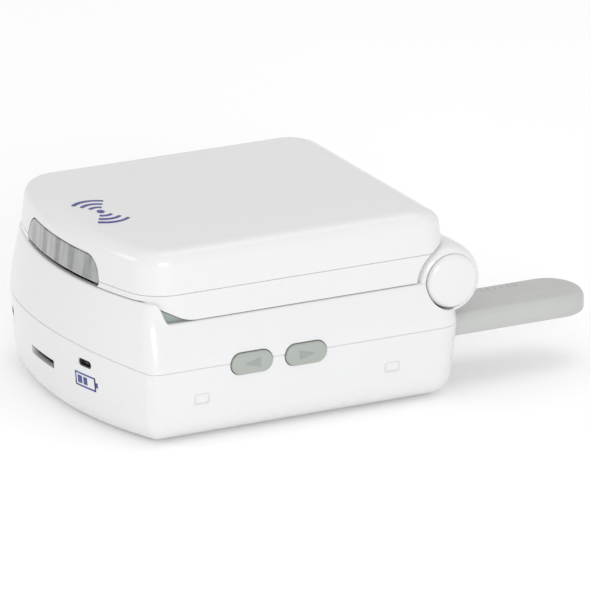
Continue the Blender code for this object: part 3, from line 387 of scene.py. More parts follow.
# painted shade: near-black colour for the sheet that stands in for the dark inside the card slot
slotShadeMaterial = plasticMaterial("painted slot shade", (0.012, 0.012, 0.012), (0.02, 0.02, 0.02), {
    "roughness": 0.6, "spread": 0.05, "bump": 0.2})
arrowMaterial = plasticMaterial("arrow grey", (0.31, 0.345, 0.315), (0.29, 0.325, 0.295), {
    "roughness": 0.55, "spread": 0.06, "bump": 0.3, "grain": 3800.0})
inkMaterial = plasticMaterial("blue print", (0.055, 0.062, 0.26), (0.07, 0.08, 0.30), {
    "roughness": 0.4, "spread": 0.06, "bump": 0.15})
# painted shade: a darker copy of the shell's white, for the snap marks' relief
reliefShadeMaterial = plasticMaterial("shell relief painted shade", (0.66, 0.665, 0.67), (0.64, 0.645, 0.65), {
    "roughness": 0.32, "coat": 0.3, "coatRoughness": 0.12, "bump": 0.1})
print("materials made")


ribPitch = 0.0105


def buildLensMaterial():
    # smoky translucent window: upright bands where the ribs behind it pass light
    material = bpy.data.materials.new("smoky signal window")
    material.use_nodes = True
    tree = material.node_tree
    shader = tree.nodes["Principled BSDF"]
    place = addNode(tree, "ShaderNodeTexCoord").outputs["Object"]
    split = addNode(tree, "ShaderNodeSeparateXYZ")
    wire(tree, place, split.inputs[0])
    phase = addMath(tree, "MULTIPLY", addMath(tree, "SUBTRACT", split.outputs["X"], middleX),
                    2 * math.pi / ribPitch)
    band = addRange(tree, addMath(tree, "COSINE", phase, 0.0), -0.2, 1.0, 0.0, 1.0)
    stretch = addNode(tree, "ShaderNodeMapping")
    stretch.inputs["Scale"].default_value = (1.0, 0.2, 0.12)
    wire(tree, place, stretch.inputs["Vector"])
    cloud = addNoise(tree, place, 180.0, 3.0)
    streak = addRange(tree, addNoise(tree, stretch.outputs["Vector"], 650.0, 3.0), 0.35, 0.65, 0.0, 1.0)
    mask = addMath(tree, "ADD", addMath(tree, "MULTIPLY", band, 0.45), addMath(tree, "MULTIPLY", streak, 0.5))
    wire(tree, addMix(tree, mask, (0.50, 0.51, 0.505, 1.0), (0.20, 0.207, 0.205, 1.0)),
         shader.inputs["Base Color"])
    wire(tree, addRange(tree, cloud, 0.3, 0.7, 0.20, 0.28), shader.inputs["Roughness"])
    addBump(tree, addNoise(tree, place, 1500.0), 0.08, 0.0001, shader)
    shader.inputs["Transmission Weight"].default_value = 0.25
    shader.inputs["IOR"].default_value = 1.49
    shader.inputs["Coat Weight"].default_value = 0.5
    shader.inputs["Coat Roughness"].default_value = 0.08
    return material


finishes["lens_grey"] = buildLensMaterial()


def finishPiece(piece, body, slot, *replaced, material=None):
    piece.data.materials.clear()
    piece.data.materials.append(material or finishes[slot])
    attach(piece, body)
    if replaced:
        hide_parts(*replaced)
    return piece


# ---- the base's casings
casing = {
    "bow": 0.129, "frontCorner": 0.0060, "rearCorner": 0.0090, "wall": 0.0022, "floor": 0.0030,
    "bottomFillet": 0.0080, "bottomDraft": (0.0015, 0.0020, 0.0022), "flare": (0.0040, 0.0040, 0.0012),
    "seamZ": 0.0264, "seamArch": 0.0028, "edge": 0.00045,
    "rimLow": 0.0422, "rimHigh": 0.0498, "rimEdge": 0.0007, "rimDip": 0.0215, "rimCrest": 0.0141,
    "earRounding": 0.0024, "earWidth": 0.013, "earRadius": 0.0125,
}
slack = 0.0003
cornerNames = ("front_left", "front_right", "rear_left", "rear_right")
sideKeyNames = ("side_key_front", "side_key_rear")
port = {
    "chargeHalf": (0.0035, 0.0014), "mouthHalf": (0.0034, 0.0013), "throatHalf": (0.0029, 0.0009),
    "cardHalf": (0.0095, 0.0015), "cardZ": 0.0167, "slotHalf": (0.0060, 0.00065), "slotZ": 0.0176,
    "jack": 0.0019, "jackBore": 0.0012, "mouthDeep": 0.0003, "slotDeep": 0.0011,
}
baseHalf = (baseHigh[0] - baseLow[0]) / 2
frontY = baseLow[1]
rearY = baseHigh[1]
underZ = baseLow[2]


def casingPlan(inset, side, front, rear):
    corner = max(casing["frontCorner"] - inset, 0.0020)
    rearCorner = max(casing["rearCorner"] - inset, 0.0020)
    return bowedPlan(baseHalf - inset - side, frontY + inset + front, rearY - inset - rear, corner,
                     rearCorner,
                     casing["bow"] - inset)


def draftAt(z):
    if z <= casing["seamZ"]:
        share = (casing["seamZ"] - z) / (casing["seamZ"] - underZ)
        return [draft * share for draft in casing["bottomDraft"]]
    sideShare = min((z - casing["seamZ"]) / (casing["rimLow"] - casing["seamZ"]), 1.0)
    frontShare = min((z - casing["seamZ"]) / (casing["rimHigh"] - casing["seamZ"]), 1.0)
    side, front, rear = casing["flare"]
    return side * sideShare ** 1.4, front * frontShare ** 1.4, rear * sideShare


def casingRing(inset, heightOf):
    # one ring of the casing's wall, its height a function of how far back the point is
    guide = casingPlan(inset, *draftAt(casing["seamZ"]))
    ring = []
    cache = {}
    for index, (_, y) in enumerate(guide):
        z = heightOf(y)
        key = round(z, 5)
        if key not in cache:
            cache[key] = casingPlan(inset, *draftAt(z))
        x, y = cache[key][index]
        ring.append((x, y, z))
    return ring


def seamHeight(y):
    # level along the sides, rising over the bowed front
    reach = 0.0134
    return casing["seamZ"] + casing["seamArch"] * max(0.0, (frontY + reach - y) / reach)


def rimHeight(y):
    share = (frontY + casing["rimDip"] - y) / (casing["rimDip"] - casing["rimCrest"])
    ease = (1 - math.cos(math.pi * min(max(share, 0.0), 1.0))) / 2
    return casing["rimLow"] + (casing["rimHigh"] - casing["rimLow"]) * ease


def quarterSteps(count):
    return [math.pi / 2 * step / count for step in range(count + 1)]


def buildLowerCasing():
    fillet = casing["bottomFillet"]
    edge = casing["edge"]
    wall = casing["wall"]
    rings = []
    for turn in quarterSteps(14):
        z = underZ + fillet * (1 - math.cos(turn))
        plan = casingPlan(fillet * (1 - math.sin(turn)), *draftAt(z))
        rings.append([(x, y, z) for x, y in plan])
    start = underZ + fillet
    for step in range(1, 9):
        rings.append(casingRing(0.0, lambda y, s=step / 9: start + (seamHeight(y) - edge - start) * s))
    for turn in quarterSteps(4):
        rings.append(casingRing(edge * (1 - math.cos(turn)),
                                lambda y, t=turn: seamHeight(y) - edge * (1 - math.sin(t))))
    rings.append(casingRing(wall, seamHeight))
    floorZ = underZ + casing["floor"]
    for inset, z in ((wall, floorZ + 0.007), (wall + 0.007, floorZ)):
        rings.append([(x, y, z) for x, y in casingPlan(inset, *draftAt(z))])
    piece = makePiece("lowerCasing", ringsMesh(rings))
    # pocket for the folded paddle, open to the rear
    pocket = {"floor": paddleLow[2] - 0.0008, "wall": 0.002, "clear": 0.0015}
    reach = paddleHigh[1] - paddleLow[1]
    half = (paddleHigh[0] - paddleLow[0]) / 2
    pivotX = (paddleHigh[0] + paddleLow[0]) / 2
    left = pivotX - reach + half - pocket["clear"]
    right = pivotX + half + pocket["clear"]
    front = paddleLow[1] - pocket["clear"]
    joinOn(piece, boxMesh(left - pocket["wall"], right + pocket["wall"], front - pocket["wall"],
                          rearY - 0.002,
                          pocket["floor"] - pocket["wall"], casing["seamZ"]))
    cutAway(piece, boxMesh(left, right, front, rearY + 0.01, pocket["floor"], casing["seamZ"] + 0.01))
    # recesses underneath: feet, screws and the battery door
    below = underZ - 0.001
    seamZ = casing["seamZ"]
    screw = {"post": 0.005, "head": 0.0034, "shank": 0.0017}
    for name in cornerNames:
        low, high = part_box("foot_" + name)
        foot = circlePoints(middleOf((low, high))[:2], (high[0] - low[0]) / 2 + slack)
        cutAway(piece, prismMesh(foot, below, underZ + 0.0011))
        centre = middleOf(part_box("casing_screw_" + name))[:2]
        joinOn(piece, prismMesh(circlePoints(centre, screw["post"]), underZ + 0.0005, seamZ - slack))
        cutAway(piece, prismMesh(circlePoints(centre, screw["head"]), below, seamZ - 0.008),
                prismMesh(circlePoints(centre, screw["shank"]), seamZ - 0.009, seamZ + 0.001))
    low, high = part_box("battery_door")
    ledge = 0.0015
    door = roundedBox(low[0] - slack, high[0] + slack, low[1] - slack, high[1] + slack, 0.0012)
    cutAway(piece, prismMesh(door, below, high[2] + slack),
            boxMesh(low[0] + ledge, high[0] - ledge, low[1] + ledge, high[1] - ledge, underZ, floorZ + 0.002))
    # ports in the bowed front
    chargeX, _, chargeZ = middleOf(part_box("charge_socket"))
    jackX, _, jackZ = middleOf(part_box("earphone_jack"))
    for outline in (roundedAt((chargeX, chargeZ), *port["chargeHalf"], 0.0013),
                    roundedAt((middleOf(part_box("card_reader"))[0], port["cardZ"]), *port["cardHalf"], 0.0006),
                    circlePoints((jackX, jackZ), port["jack"], 40)):
        cutAway(piece, prismMesh(outline, frontY - 0.002, frontY + 0.016, "Y"))
    for name in sideKeyNames:
        cutAway(piece, keyHole(name))
    evenShading(piece)
    return finishPiece(piece, "base", "white_casing", "base_lower_casing")


def frontFace(x, z):
    # how far forward the bowed front stands at a place
    _, front, _ = draftAt(z)
    radius = casing["bow"]
    return frontY + front + radius - math.sqrt(radius ** 2 - (x - middleX) ** 2)


def buildPortInserts():
    # dark pieces just inside each port: the socket mouth and earphone ring in black parts, and in the card slot
    # a near-black sheet that is painted shade for the slot's dark opening
    seamZ = casing["seamZ"]
    centreX, _, centreZ = middleOf(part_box("charge_socket"))
    centre = (centreX, centreZ)
    face = frontFace(*centre)
    mouth = makePiece("chargeMouth", prismMesh(roundedAt(centre, *port["mouthHalf"], 0.0012),
                                               face - 0.002, face + 0.003, "Y"))
    combine(mouth, prismMesh(casingPlan(port["mouthDeep"], *draftAt(centreZ)), 0.0, seamZ), "INTERSECT")
    cutAway(mouth, prismMesh(roundedAt(centre, *port["throatHalf"], 0.0008), face - 0.003, face + 0.0022,
                             "Y"))
    # the tongue inside the socket
    joinOn(mouth, boxMesh(centreX - 0.0019, centreX + 0.0019, face + 0.0007, face + 0.0026,
                          centreZ - 0.0001, centreZ + 0.0004))
    finishPiece(mouth, "base", "black_parts")
    # painted shade: a near-black sheet inside the card recess stands in for the dark of the slot
    centre = (middleOf(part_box("card_reader"))[0], port["slotZ"])
    face = frontFace(*centre)
    slot = makePiece("cardSlot", prismMesh(roundedAt(centre, *port["slotHalf"], 0.0003),
                                           face - 0.002, face + 0.004, "Y"))
    combine(slot, prismMesh(casingPlan(port["slotDeep"], *draftAt(port["slotZ"])), 0.0, seamZ), "INTERSECT")
    finishPiece(slot, "base", "black_parts", material=slotShadeMaterial)
    centreX, _, centreZ = middleOf(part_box("earphone_jack"))
    centre = (centreX, centreZ)
    face = frontFace(centreX - port["jack"], centreZ)
    ring = makePiece("jackRing", prismMesh(circlePoints(centre, port["jack"] - 0.0001, 48),
                                           face - 0.0001, face + 0.004, "Y"))
    cutAway(ring, prismMesh(circlePoints(centre, port["jackBore"], 40), face - 0.002, face + 0.0035, "Y"))
    finishPiece(ring, "base", "black_parts")


def keyPlace(name):
    low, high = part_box(name)
    return (low[1] + high[1]) / 2, (low[2] + high[2]) / 2, high[0]


def keyHole(name):
    y, z, outer = keyPlace(name)
    outline = stadiumPoints((y, z), 0.0161, 0.0080)
    return prismMesh(outline, outer - 0.008, outer + 0.004, "X")


def earProfile(side):
    outer = earOuterX
    inner = outer - casing["earWidth"]
    profile = [(casing["earRadius"], inner)]
    for turn in quarterSteps(12):
        shrink = casing["earRounding"] * (1 - math.cos(turn))
        profile.append((casing["earRadius"] - shrink,
                        outer - casing["earWidth"] * 0.55 * (1 - math.sin(turn))))
    lip = casing["earRadius"] - casing["earRounding"]
    profile.append((lip - 0.00015, outer + 0.0001))
    return [(radius, middleX + side * x) for radius, x in profile]


def buildUpperCasing():
    edge = casing["edge"]
    rimEdge = casing["rimEdge"]
    wall = casing["wall"]
    rings = [casingRing(wall, seamHeight)]
    for turn in quarterSteps(4):
        rings.append(casingRing(edge * (1 - math.sin(turn)),
                                lambda y, t=turn: seamHeight(y) + edge * (1 - math.cos(t))))
    for step in range(1, 14):
        rings.append(casingRing(0.0, lambda y, s=step / 14: (seamHeight(y) + edge) * (1 - s)
                                + (rimHeight(y) - rimEdge) * s))
    for turn in quarterSteps(5):
        rings.append(casingRing(rimEdge * (1 - math.cos(turn)),
                                lambda y, t=turn: rimHeight(y) - rimEdge * (1 - math.sin(t))))
    for turn in quarterSteps(3):
        rings.append(casingRing(wall - rimEdge * 0.5 * (1 - math.sin(turn)),
                                lambda y, t=turn: rimHeight(y) - rimEdge * 0.5 * (1 - math.cos(t))))
    # the ledge that carries the deck
    ledgeTop = deckLow[2] - slack
    ledgeLow = ledgeTop - 0.002
    ledgeInset = wall + 0.0025
    for inset, z in ((wall, ledgeTop), (ledgeInset, ledgeTop), (ledgeInset, ledgeLow), (wall, ledgeLow)):
        rings.append([(x, y, z) for x, y in casingPlan(inset, *draftAt(z))])
    piece = makePiece("upperCasing", ringsMesh(rings, closed=True))
    earX = earOuterX - casing["earWidth"]
    trough = casing["earRadius"] + 0.0002
    insideX = baseHalf - wall - 0.002
    # the trough's wall and the pocket's roof
    roofLow = casing["seamZ"] + slack
    joinOn(piece, boxMesh(middleX - insideX, middleX + insideX, hingeY - trough - wall, rearY - wall,
                          roofLow, casing["rimLow"] - 0.0004))
    shelfFront = paddleLow[1] - 0.0035
    joinOn(piece, boxMesh(middleX - insideX, middleX + insideX, shelfFront, rearY - wall,
                          roofLow, casing["seamZ"] + 0.0023))
    for side in (-1, 1):
        joinOn(piece, hingeMesh(earProfile(side)))
    cutAway(piece, hingeMesh([(trough, middleX - earX), (trough, middleX + earX)]))
    bore = (capHigh[1] - capLow[1]) / 2 + 0.00055
    pinHole = 0.0033
    for side in (-1, 1):
        web = [(bore, middleX + side * (earX + 0.0025)), (bore, middleX + side * (baseHalf + 0.002))]
        hole = [(pinHole, middleX + side * (earX - 0.001)), (pinHole, middleX + side * (earX + 0.0035))]
        cutAway(piece, hingeMesh(web), hingeMesh(hole, 32))
    for name in sideKeyNames:
        cutAway(piece, keyHole(name))
    evenShading(piece)
    return finishPiece(piece, "base", "white_casing", "base_upper_casing")


def meshOf(piece):
    mesh = bmesh.new()
    mesh.from_mesh(piece.data)
    data = piece.data
    bpy.data.objects.remove(piece)
    bpy.data.meshes.remove(data)
    return mesh


buildLowerCasing()
buildUpperCasing()
buildPortInserts()
print("base casings made")


# ---- hinge caps and the side keys
def buildHingeCaps():
    # each cap sits a little high and back in its bore, so the gap opens below at the front
    cap = {"radius": (capHigh[1] - capLow[1]) / 2 + 0.00028, "edge": 0.0018, "crown": 0.0007, "depth": 0.0062,
           "shift": (0.00018, 0.00015)}
    outer = capHigh[0] - middleX
    for name, side in (("right", 1), ("left", -1)):
        shoulder = outer - cap["edge"] - cap["crown"]
        profile = [(cap["radius"], outer - cap["depth"])]
        for turn in quarterSteps(10):
            profile.append((cap["radius"] - cap["edge"] * (1 - math.cos(turn)),
                            shoulder + cap["edge"] * math.sin(turn)))
        flat = cap["radius"] - cap["edge"]
        for step in range(1, 16):
            share = 1 - step / 16
            profile.append((flat * share, outer - cap["crown"] * share ** 2))
        centre = (hingeY + cap["shift"][0], hingeZ + cap["shift"][1])
        piece = makePiece("hingeCap_" + name, loftMesh(
            [(circlePoints(centre, radius, 128), middleX + side * x) for radius, x in profile], "X"))
        finishPiece(piece, "base", "white_casing", "hinge_cap_" + name)


def buildSideKeys():
    key = {"length": 0.0155, "height": 0.0075, "edge": 0.0011, "dome": 0.00012, "arrow": 0.00016,
           "arrowShape": (0.0030, 0.0028, 0.0016), "back": 0.0062, "shift": (0.00016, -0.00014)}
    for name in sideKeyNames:
        y, z, outer = keyPlace(name)
        y += key["shift"][0]
        z += key["shift"][1]
        face = outer - key["arrow"]
        sections = [(0.0, outer - key["back"])]
        for turn in quarterSteps(6):
            sections.append((key["edge"] * (1 - math.cos(turn)),
                             face - key["dome"] - (key["edge"] * 0.7) * (1 - math.sin(turn))))
        sections.append((key["edge"] + 0.0010, face - key["dome"] * 0.4))
        sections.append((key["height"] / 2 - 0.0002, face))
        outlines = [(stadiumPoints((y, z), key["length"] - 2 * inset, key["height"] - 2 * inset), x)
                    for inset, x in sections]
        piece = makePiece(name.replace("side_key", "sideKey"), loftMesh(outlines, "X"), 60)
        finishPiece(piece, name + "_cap", "key_grey", name)
        # a plain arrow raised on the key's face
        way = -1 if name == "side_key_front" else 1
        point, back, spread = key["arrowShape"]
        corners = [(y + way * point, z), (y - way * back, z + spread), (y - way * back, z - spread)]
        arrow = makePiece(name.replace("side_key", "keyArrow"),
                          prismMesh(corners, outer - 0.0008, outer - 0.00002, "X"))
        softenEdges(arrow, 0.0001)
        finishPiece(arrow, name + "_cap", "key_grey", material=arrowMaterial)


buildHingeCaps()
buildSideKeys()
print("caps and keys made")


# ---- the lid
lid = {
    "bow": 0.134, "frontCorner": 0.014, "rearCorner": 0.0105, "fillet": 0.0058, "rearFillet": 0.012,
    "draft": 0.0010,
    "seamZ": 0.0521, "edge": 0.00045, "wall": 0.0022, "crown": 0.0003, "bottomZ": 0.0426,
}
lidHalf = (lidHigh[0] - lidLow[0]) / 2
lidFrontY = frontY + 0.0045
lidRearY = rearY - 0.0032
lidTopZ = lidHigh[2] - lid["crown"]


def lidPlan(inset, rearInset=0.0):
    return bowedPlan(lidHalf - inset, lidFrontY + inset, lidRearY - inset - rearInset,
                     max(lid["frontCorner"] - inset, 0.003),
                     max(lid["rearCorner"] - inset, 0.002), lid["bow"] - inset)


def earClearances():
    inner = earOuterX - casing["earWidth"] - 0.0003
    radius = casing["earRadius"] + 0.0004
    return [hingeMesh([(radius, middleX + side * inner), (radius, middleX + side * (baseHalf + 0.001))])
            for side in (-1, 1)]


def buildLidCover():
    edge = lid["edge"]
    sections = []
    low = lid["seamZ"]
    for turn in quarterSteps(4):
        sections.append((lidPlan(edge * (1 - math.sin(turn))), low + edge * (1 - math.cos(turn))))
    fillet = lid["fillet"]
    rear = lid["rearFillet"] - fillet
    top = lidTopZ
    wallTop = top - fillet
    for step in range(1, 5):
        share = step / 5
        sections.append((lidPlan(lid["draft"] * share), low + edge + (wallTop - low - edge) * share))
    for turn in quarterSteps(18):
        inward = 1 - math.cos(turn)
        sections.append((lidPlan(lid["draft"] + fillet * inward, rear * inward),
                         wallTop + fillet * math.sin(turn)))
    flat = lid["draft"] + fillet
    for extra, rise in ((0.004, 0.35), (0.010, 0.7), (0.018, 0.93), (0.028, 1.0)):
        sections.append((lidPlan(flat + extra, rear), top + lid["crown"] * rise))
    piece = makePiece("lidCover", loftMesh(sections))
    wall = lid["wall"]
    inner = [(lidPlan(wall), lid["seamZ"] - 0.001)]
    for turn in quarterSteps(6):
        inward = 1 - math.cos(turn)
        inner.append((lidPlan(wall + lid["draft"] + (fillet - wall) * inward, rear * inward),
                      wallTop + (fillet - wall) * math.sin(turn)))
    cutAway(piece, loftMesh(inner))
    cutAway(piece, *earClearances())
    knuckle = casing["earRadius"]
    knuckleHalf = lidHalf - 0.0125
    cutAway(piece, hingeMesh([(knuckle, middleX - knuckleHalf), (knuckle, middleX + knuckleHalf)]))
    cutAway(piece, prismMesh(lensOutline(0.0003), lidFrontY - 0.01, lidFrontY + 0.012, "Y"))
    evenShading(piece)
    return finishPiece(piece, "lid", "white_casing", "lid_outer_cover")


lensX = middleX - 0.0008


def lensHalf(share):
    # half width of the lens at a share of its height
    points = ((0.0, 0.0272), (0.08, 0.0281), (0.25, 0.0283), (0.55, 0.0274), (0.75, 0.0259), (0.88, 0.0243),
              (0.96, 0.0228), (1.0, 0.0212))
    for (lowShare, lowHalf), (highShare, highHalf) in zip(points, points[1:]):
        if share <= highShare:
            return lowHalf + (highHalf - lowHalf) * (share - lowShare) / (highShare - lowShare)
    return points[-1][1]


def lensOutline(extra):
    low = lensLow[2] - extra
    high = lensHigh[2] + extra
    right = [(lensHalf(step / 24) + extra, low + (high - low) * step / 24) for step in range(25)]
    return [(lensX + x, z) for x, z in right] + [(lensX - x, z) for x, z in reversed(right)]


def lidFrontAt(x, z):
    wallTop = lidTopZ - lid["fillet"]
    inset = lid["draft"] * min(max((z - lid["seamZ"]) / (wallTop - lid["seamZ"]), 0.0), 1.0)
    radius = lid["bow"] - inset
    return lidFrontY + inset + radius - math.sqrt(radius ** 2 - (x - middleX) ** 2)


def buildLens():
    across, upward = 220, 30
    rib = {"depth": 0.00018, "edge": 0.0005, "thickness": 0.0020, "lift": 0.0006}
    lowZ = lensLow[2] + rib["lift"]
    mesh = bmesh.new()
    rows = []
    for j in range(upward + 1):
        share = j / upward
        z = lowZ + (lensHigh[2] - lowZ) * share
        row = []
        for i in range(across + 1):
            u = -1 + 2 * i / across
            x = lensX + lensHalf(share) * u
            fromEdge = min((1 - abs(u)) * lensHalf(share), z - lowZ, lensHigh[2] - z)
            sink = rib["edge"] * max(0.0, 1 - fromEdge / rib["edge"]) ** 2
            wave = math.cos(2 * math.pi * (x - middleX) / ribPitch)
            fade = min(1.0, max(0.0, fromEdge - 0.0006) / 0.001)
            row.append(mesh.verts.new((x, lidFrontAt(x, z) + sink + rib["depth"] * fade * (0.5 + 0.5 * wave),
                                       z)))
        rows.append(row)
    for low, high in zip(rows, rows[1:]):
        for i in range(across):
            mesh.faces.new((low[i], low[i + 1], high[i + 1], high[i]))
    piece = makePiece("signalLens", mesh)
    thicken = piece.modifiers.new("thickness", "SOLIDIFY")
    thicken.thickness = rib["thickness"]
    thicken.offset = -1.0
    return finishPiece(piece, "lid", "lens_grey", "signal_lens")


def bezelSlope():
    # side view of the bezel's underside where it rises over the base's front
    start = frontY + 0.0317
    crest = frontY + 0.0139
    rise = casing["rimHigh"] + 0.0004 - lid["bottomZ"]
    shares = ((0.0, 0.0), (0.1, 0.02), (0.21, 0.07), (0.31, 0.155), (0.41, 0.27), (0.53, 0.42), (0.66, 0.57),
              (0.76, 0.70), (0.83, 0.80), (0.89, 0.89), (0.95, 0.965), (1.0, 1.0))
    return [(start + (crest - start) * a, lid["bottomZ"] + rise * b) for a, b in shares]


def slopeSpace():
    slope = bezelSlope()
    under = lid["bottomZ"] - 0.003
    return [(slope[0][0], under)] + slope + [(frontY - 0.01, slope[-1][1]), (frontY - 0.01, under)]


def buildDeckShoulders():
    # grey shoulders either side of the loudspeaker, rising under the bezel's slope
    shoulder = {"below": 0.0005, "innerX": 0.021, "clear": 0.0026}
    slope = bezelSlope()
    low = deckHigh[2] + 0.00005
    outline = [(slope[0][0] + 0.004, low), (slope[0][0] + 0.0015, slope[0][1] - shoulder["below"])]
    outline += [(y, z - shoulder["below"]) for y, z in slope]
    outline += [(frontY - 0.002, slope[-1][1] - shoulder["below"] - 0.0006), (frontY - 0.002, low)]
    inside = casingPlan(shoulder["clear"], *draftAt(casing["rimHigh"]))
    for name, side in (("right", 1), ("left", -1)):
        reach = sorted((middleX + side * shoulder["innerX"], middleX + side * (baseHalf + 0.002)))
        piece = makePiece("deckShoulder_" + name, prismMesh(outline, *reach, "X"))
        combine(piece, prismMesh(inside, 0.02, 0.08), "INTERSECT")
        softenEdges(piece, 0.0005, 3, 40)
        finishPiece(piece, "base", "deck_grey")


def buildBezel():
    plateTop = lid["bottomZ"] + lid["wall"]
    piece = makePiece("lidBezel", prismMesh(lidPlan(0.0), lid["bottomZ"], lid["seamZ"]))
    cutAway(piece, *earClearances())
    edgeY = lidFrontY + 0.0260
    rear = hingeY - casing["earRadius"] - 0.0012
    wall = lid["wall"]
    hollow = makePiece("hollow", prismMesh(lidPlan(wall), plateTop, lid["seamZ"] + 0.002))
    combine(hollow, boxMesh(-0.2, 0.2, edgeY, rear, 0.0, 0.2), "INTERSECT")
    cutAway(piece, meshOf(hollow))
    cutAway(piece, prismMesh(slopeSpace(), -0.2, 0.2, "X"))
    shallow = makePiece("hollow", prismMesh(lidPlan(wall), casing["rimHigh"] + 0.0012, lid["seamZ"] + 0.002))
    combine(shallow, boxMesh(-0.2, 0.2, lidFrontY + 0.0150, edgeY + 0.001, 0.0, 0.2), "INTERSECT")
    cutAway(piece, meshOf(shallow))
    reach = earOuterX - casing["earWidth"] - 0.0003
    radius = casing["earRadius"] - 0.0003
    joinOn(piece, hingeMesh([(radius, middleX - reach), (radius, middleX + reach)]))
    cutAway(piece, hingeMesh([(radius - wall, middleX - reach - 0.001),
                              (radius - wall, middleX + reach + 0.001)]))
    low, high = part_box("screen_window")
    bottomZ = lid["bottomZ"]
    window = roundedBox(low[0] - slack, high[0] + slack, low[1] - slack, high[1] + slack, 0.0008)
    cutAway(piece, prismMesh(window, bottomZ - 0.001, high[2] + slack),
            boxMesh(low[0] + 0.0040, high[0] - 0.0040, low[1] + 0.0035, high[1] - 0.0035,
                    bottomZ, plateTop + 0.001))
    for name in cornerNames:
        centre = middleOf(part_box("lid_screw_" + name))[:2]
        joinOn(piece, prismMesh(circlePoints(centre, 0.0036), plateTop - 0.0005, lid["seamZ"] - slack))
        cutAway(piece, prismMesh(circlePoints(centre, 0.0024), bottomZ - 0.001, bottomZ + 0.0024),
                prismMesh(circlePoints(centre, 0.0014), bottomZ, lid["seamZ"] + 0.001))
    cutAway(piece, prismMesh(lensOutline(0.0003), lidFrontY - 0.01, lensHigh[1] + 0.0003, "Y"))
    softenEdges(piece, 0.0008, 4, 40)
    return finishPiece(piece, "lid", "white_casing", "lid_screen_bezel")


buildLidCover()
buildLens()
buildDeckShoulders()
buildBezel()
print("lid made")


# ---- the swing-out aerial paddle
def buildAerial():
    paddle = {"edges": (0.0032, 0.0012), "seamZ": paddleLow[2] + 0.0016, "gap": 0.00001, "ribs": 13,
              "ribPitch": 0.0026}
    half = (aerialHigh[0] - aerialLow[0]) / 2
    pivot = ((aerialHigh[0] + aerialLow[0]) / 2, aerialLow[1] + half)
    tip = half * 0.97

    def plan(inset):
        root = arcPoints(pivot, half - inset, math.pi, 2 * math.pi, 40)
        centreY = aerialHigh[1] - tip
        far = [(pivot[0] + (half - inset) * math.cos(turn), centreY + (tip - inset) * math.sin(turn))
               for turn in [math.pi * step / 40 for step in range(41)]]
        return root + far

    for name, body, farZ, edge in (("upper", "aerial_upper_shell", aerialHigh[2], paddle["edges"][0]),
                                   ("lower", "aerial_lower_shell", paddleLow[2], paddle["edges"][1])):
        way = 1 if farZ == aerialHigh[2] else -1
        splitZ = paddle["seamZ"] + way * paddle["gap"]
        sections = [(plan(0.0), splitZ)]
        for turn in quarterSteps(12):
            sections.append((plan(edge * (1 - math.cos(turn))), farZ - way * edge * (1 - math.sin(turn))))
        sections.append((plan(edge + 0.003), farZ))
        piece = makePiece("aerialShell_" + name, loftMesh(sections))
        if way > 0:
            hollow = roundedBox(pivot[0] - half + 0.0022, pivot[0] + half - 0.0022, pivot[1] + 0.008,
                                aerialHigh[1] - 0.010, 0.003)
            cutAway(piece, prismMesh(hollow, splitZ - 0.001, farZ - 0.0016))
        cutAway(piece, prismMesh(circlePoints(pivot, 0.0023), paddleLow[2] - 0.001, aerialHigh[2] + 0.001))
        evenShading(piece)
        finishPiece(piece, "aerial", "grey_aerial", body)
    # a row of fine grip ribs along the paddle's inner edge
    ribX = pivot[0] - half + 0.0052
    for index in range(paddle["ribs"]):
        ribY = pivot[1] + 0.018 + index * paddle["ribPitch"]
        outline = stadiumPoints((ribX, ribY), 0.0028, 0.0011, 8)
        top = aerialHigh[2]
        sections = [(outline, top - 0.0004), (outline, top + 0.00012),
                    (stadiumPoints((ribX, ribY), 0.0022, 0.0006, 8), top + 0.00025)]
        rib = makePiece("gripRib_%02d" % (index + 1), loftMesh(sections))
        finishPiece(rib, "aerial", "grey_aerial")


buildAerial()
print("aerial made")


# ---- marks: plain generic signs in place of any wording
def curvedPrint(name, outlines, place, body, thickness):
    mesh = bmesh.new()
    for outline in outlines:
        face = mesh.faces.new([mesh.verts.new(place(u, v)) for u, v in outline])
        face.normal_update()
    bmesh.ops.remove_doubles(mesh, verts=mesh.verts, dist=1e-7)
    piece = makePiece(name, mesh)
    thicken = piece.modifiers.new("thickness", "SOLIDIFY")
    thicken.thickness = thickness
    thicken.offset = 0.0
    finishPiece(piece, body, "white_casing", material=inkMaterial)


def bandOutline(centre, radius, width, start, end, steps=24):
    outside = arcPoints(centre, radius + width / 2, start, end, steps)
    inside = arcPoints(centre, radius - width / 2, end, start, steps)
    return outside + inside


def buildLidMark():
    signal = {"centre": (middleX + 0.0010, frontY + 0.0210), "dot": 0.0013, "width": 0.0011, "pitch": 0.0030}
    centre = (0.0, 0.0)
    outlines = [circlePoints(centre, signal["dot"], 32)]
    for ring in (1, 2, 3):
        radius = signal["pitch"] * ring + 0.0008
        for facing in (0.0, math.pi):
            outlines.append(bandOutline(centre, radius, signal["width"], facing - 0.62, facing + 0.62))
    topZ = lidTopZ + lid["crown"] * 0.7
    curvedPrint("lidSignalMark", outlines,
                lambda u, v: (signal["centre"][0] + u * 1.25, signal["centre"][1] + v, topZ),
                "lid", 0.0003)


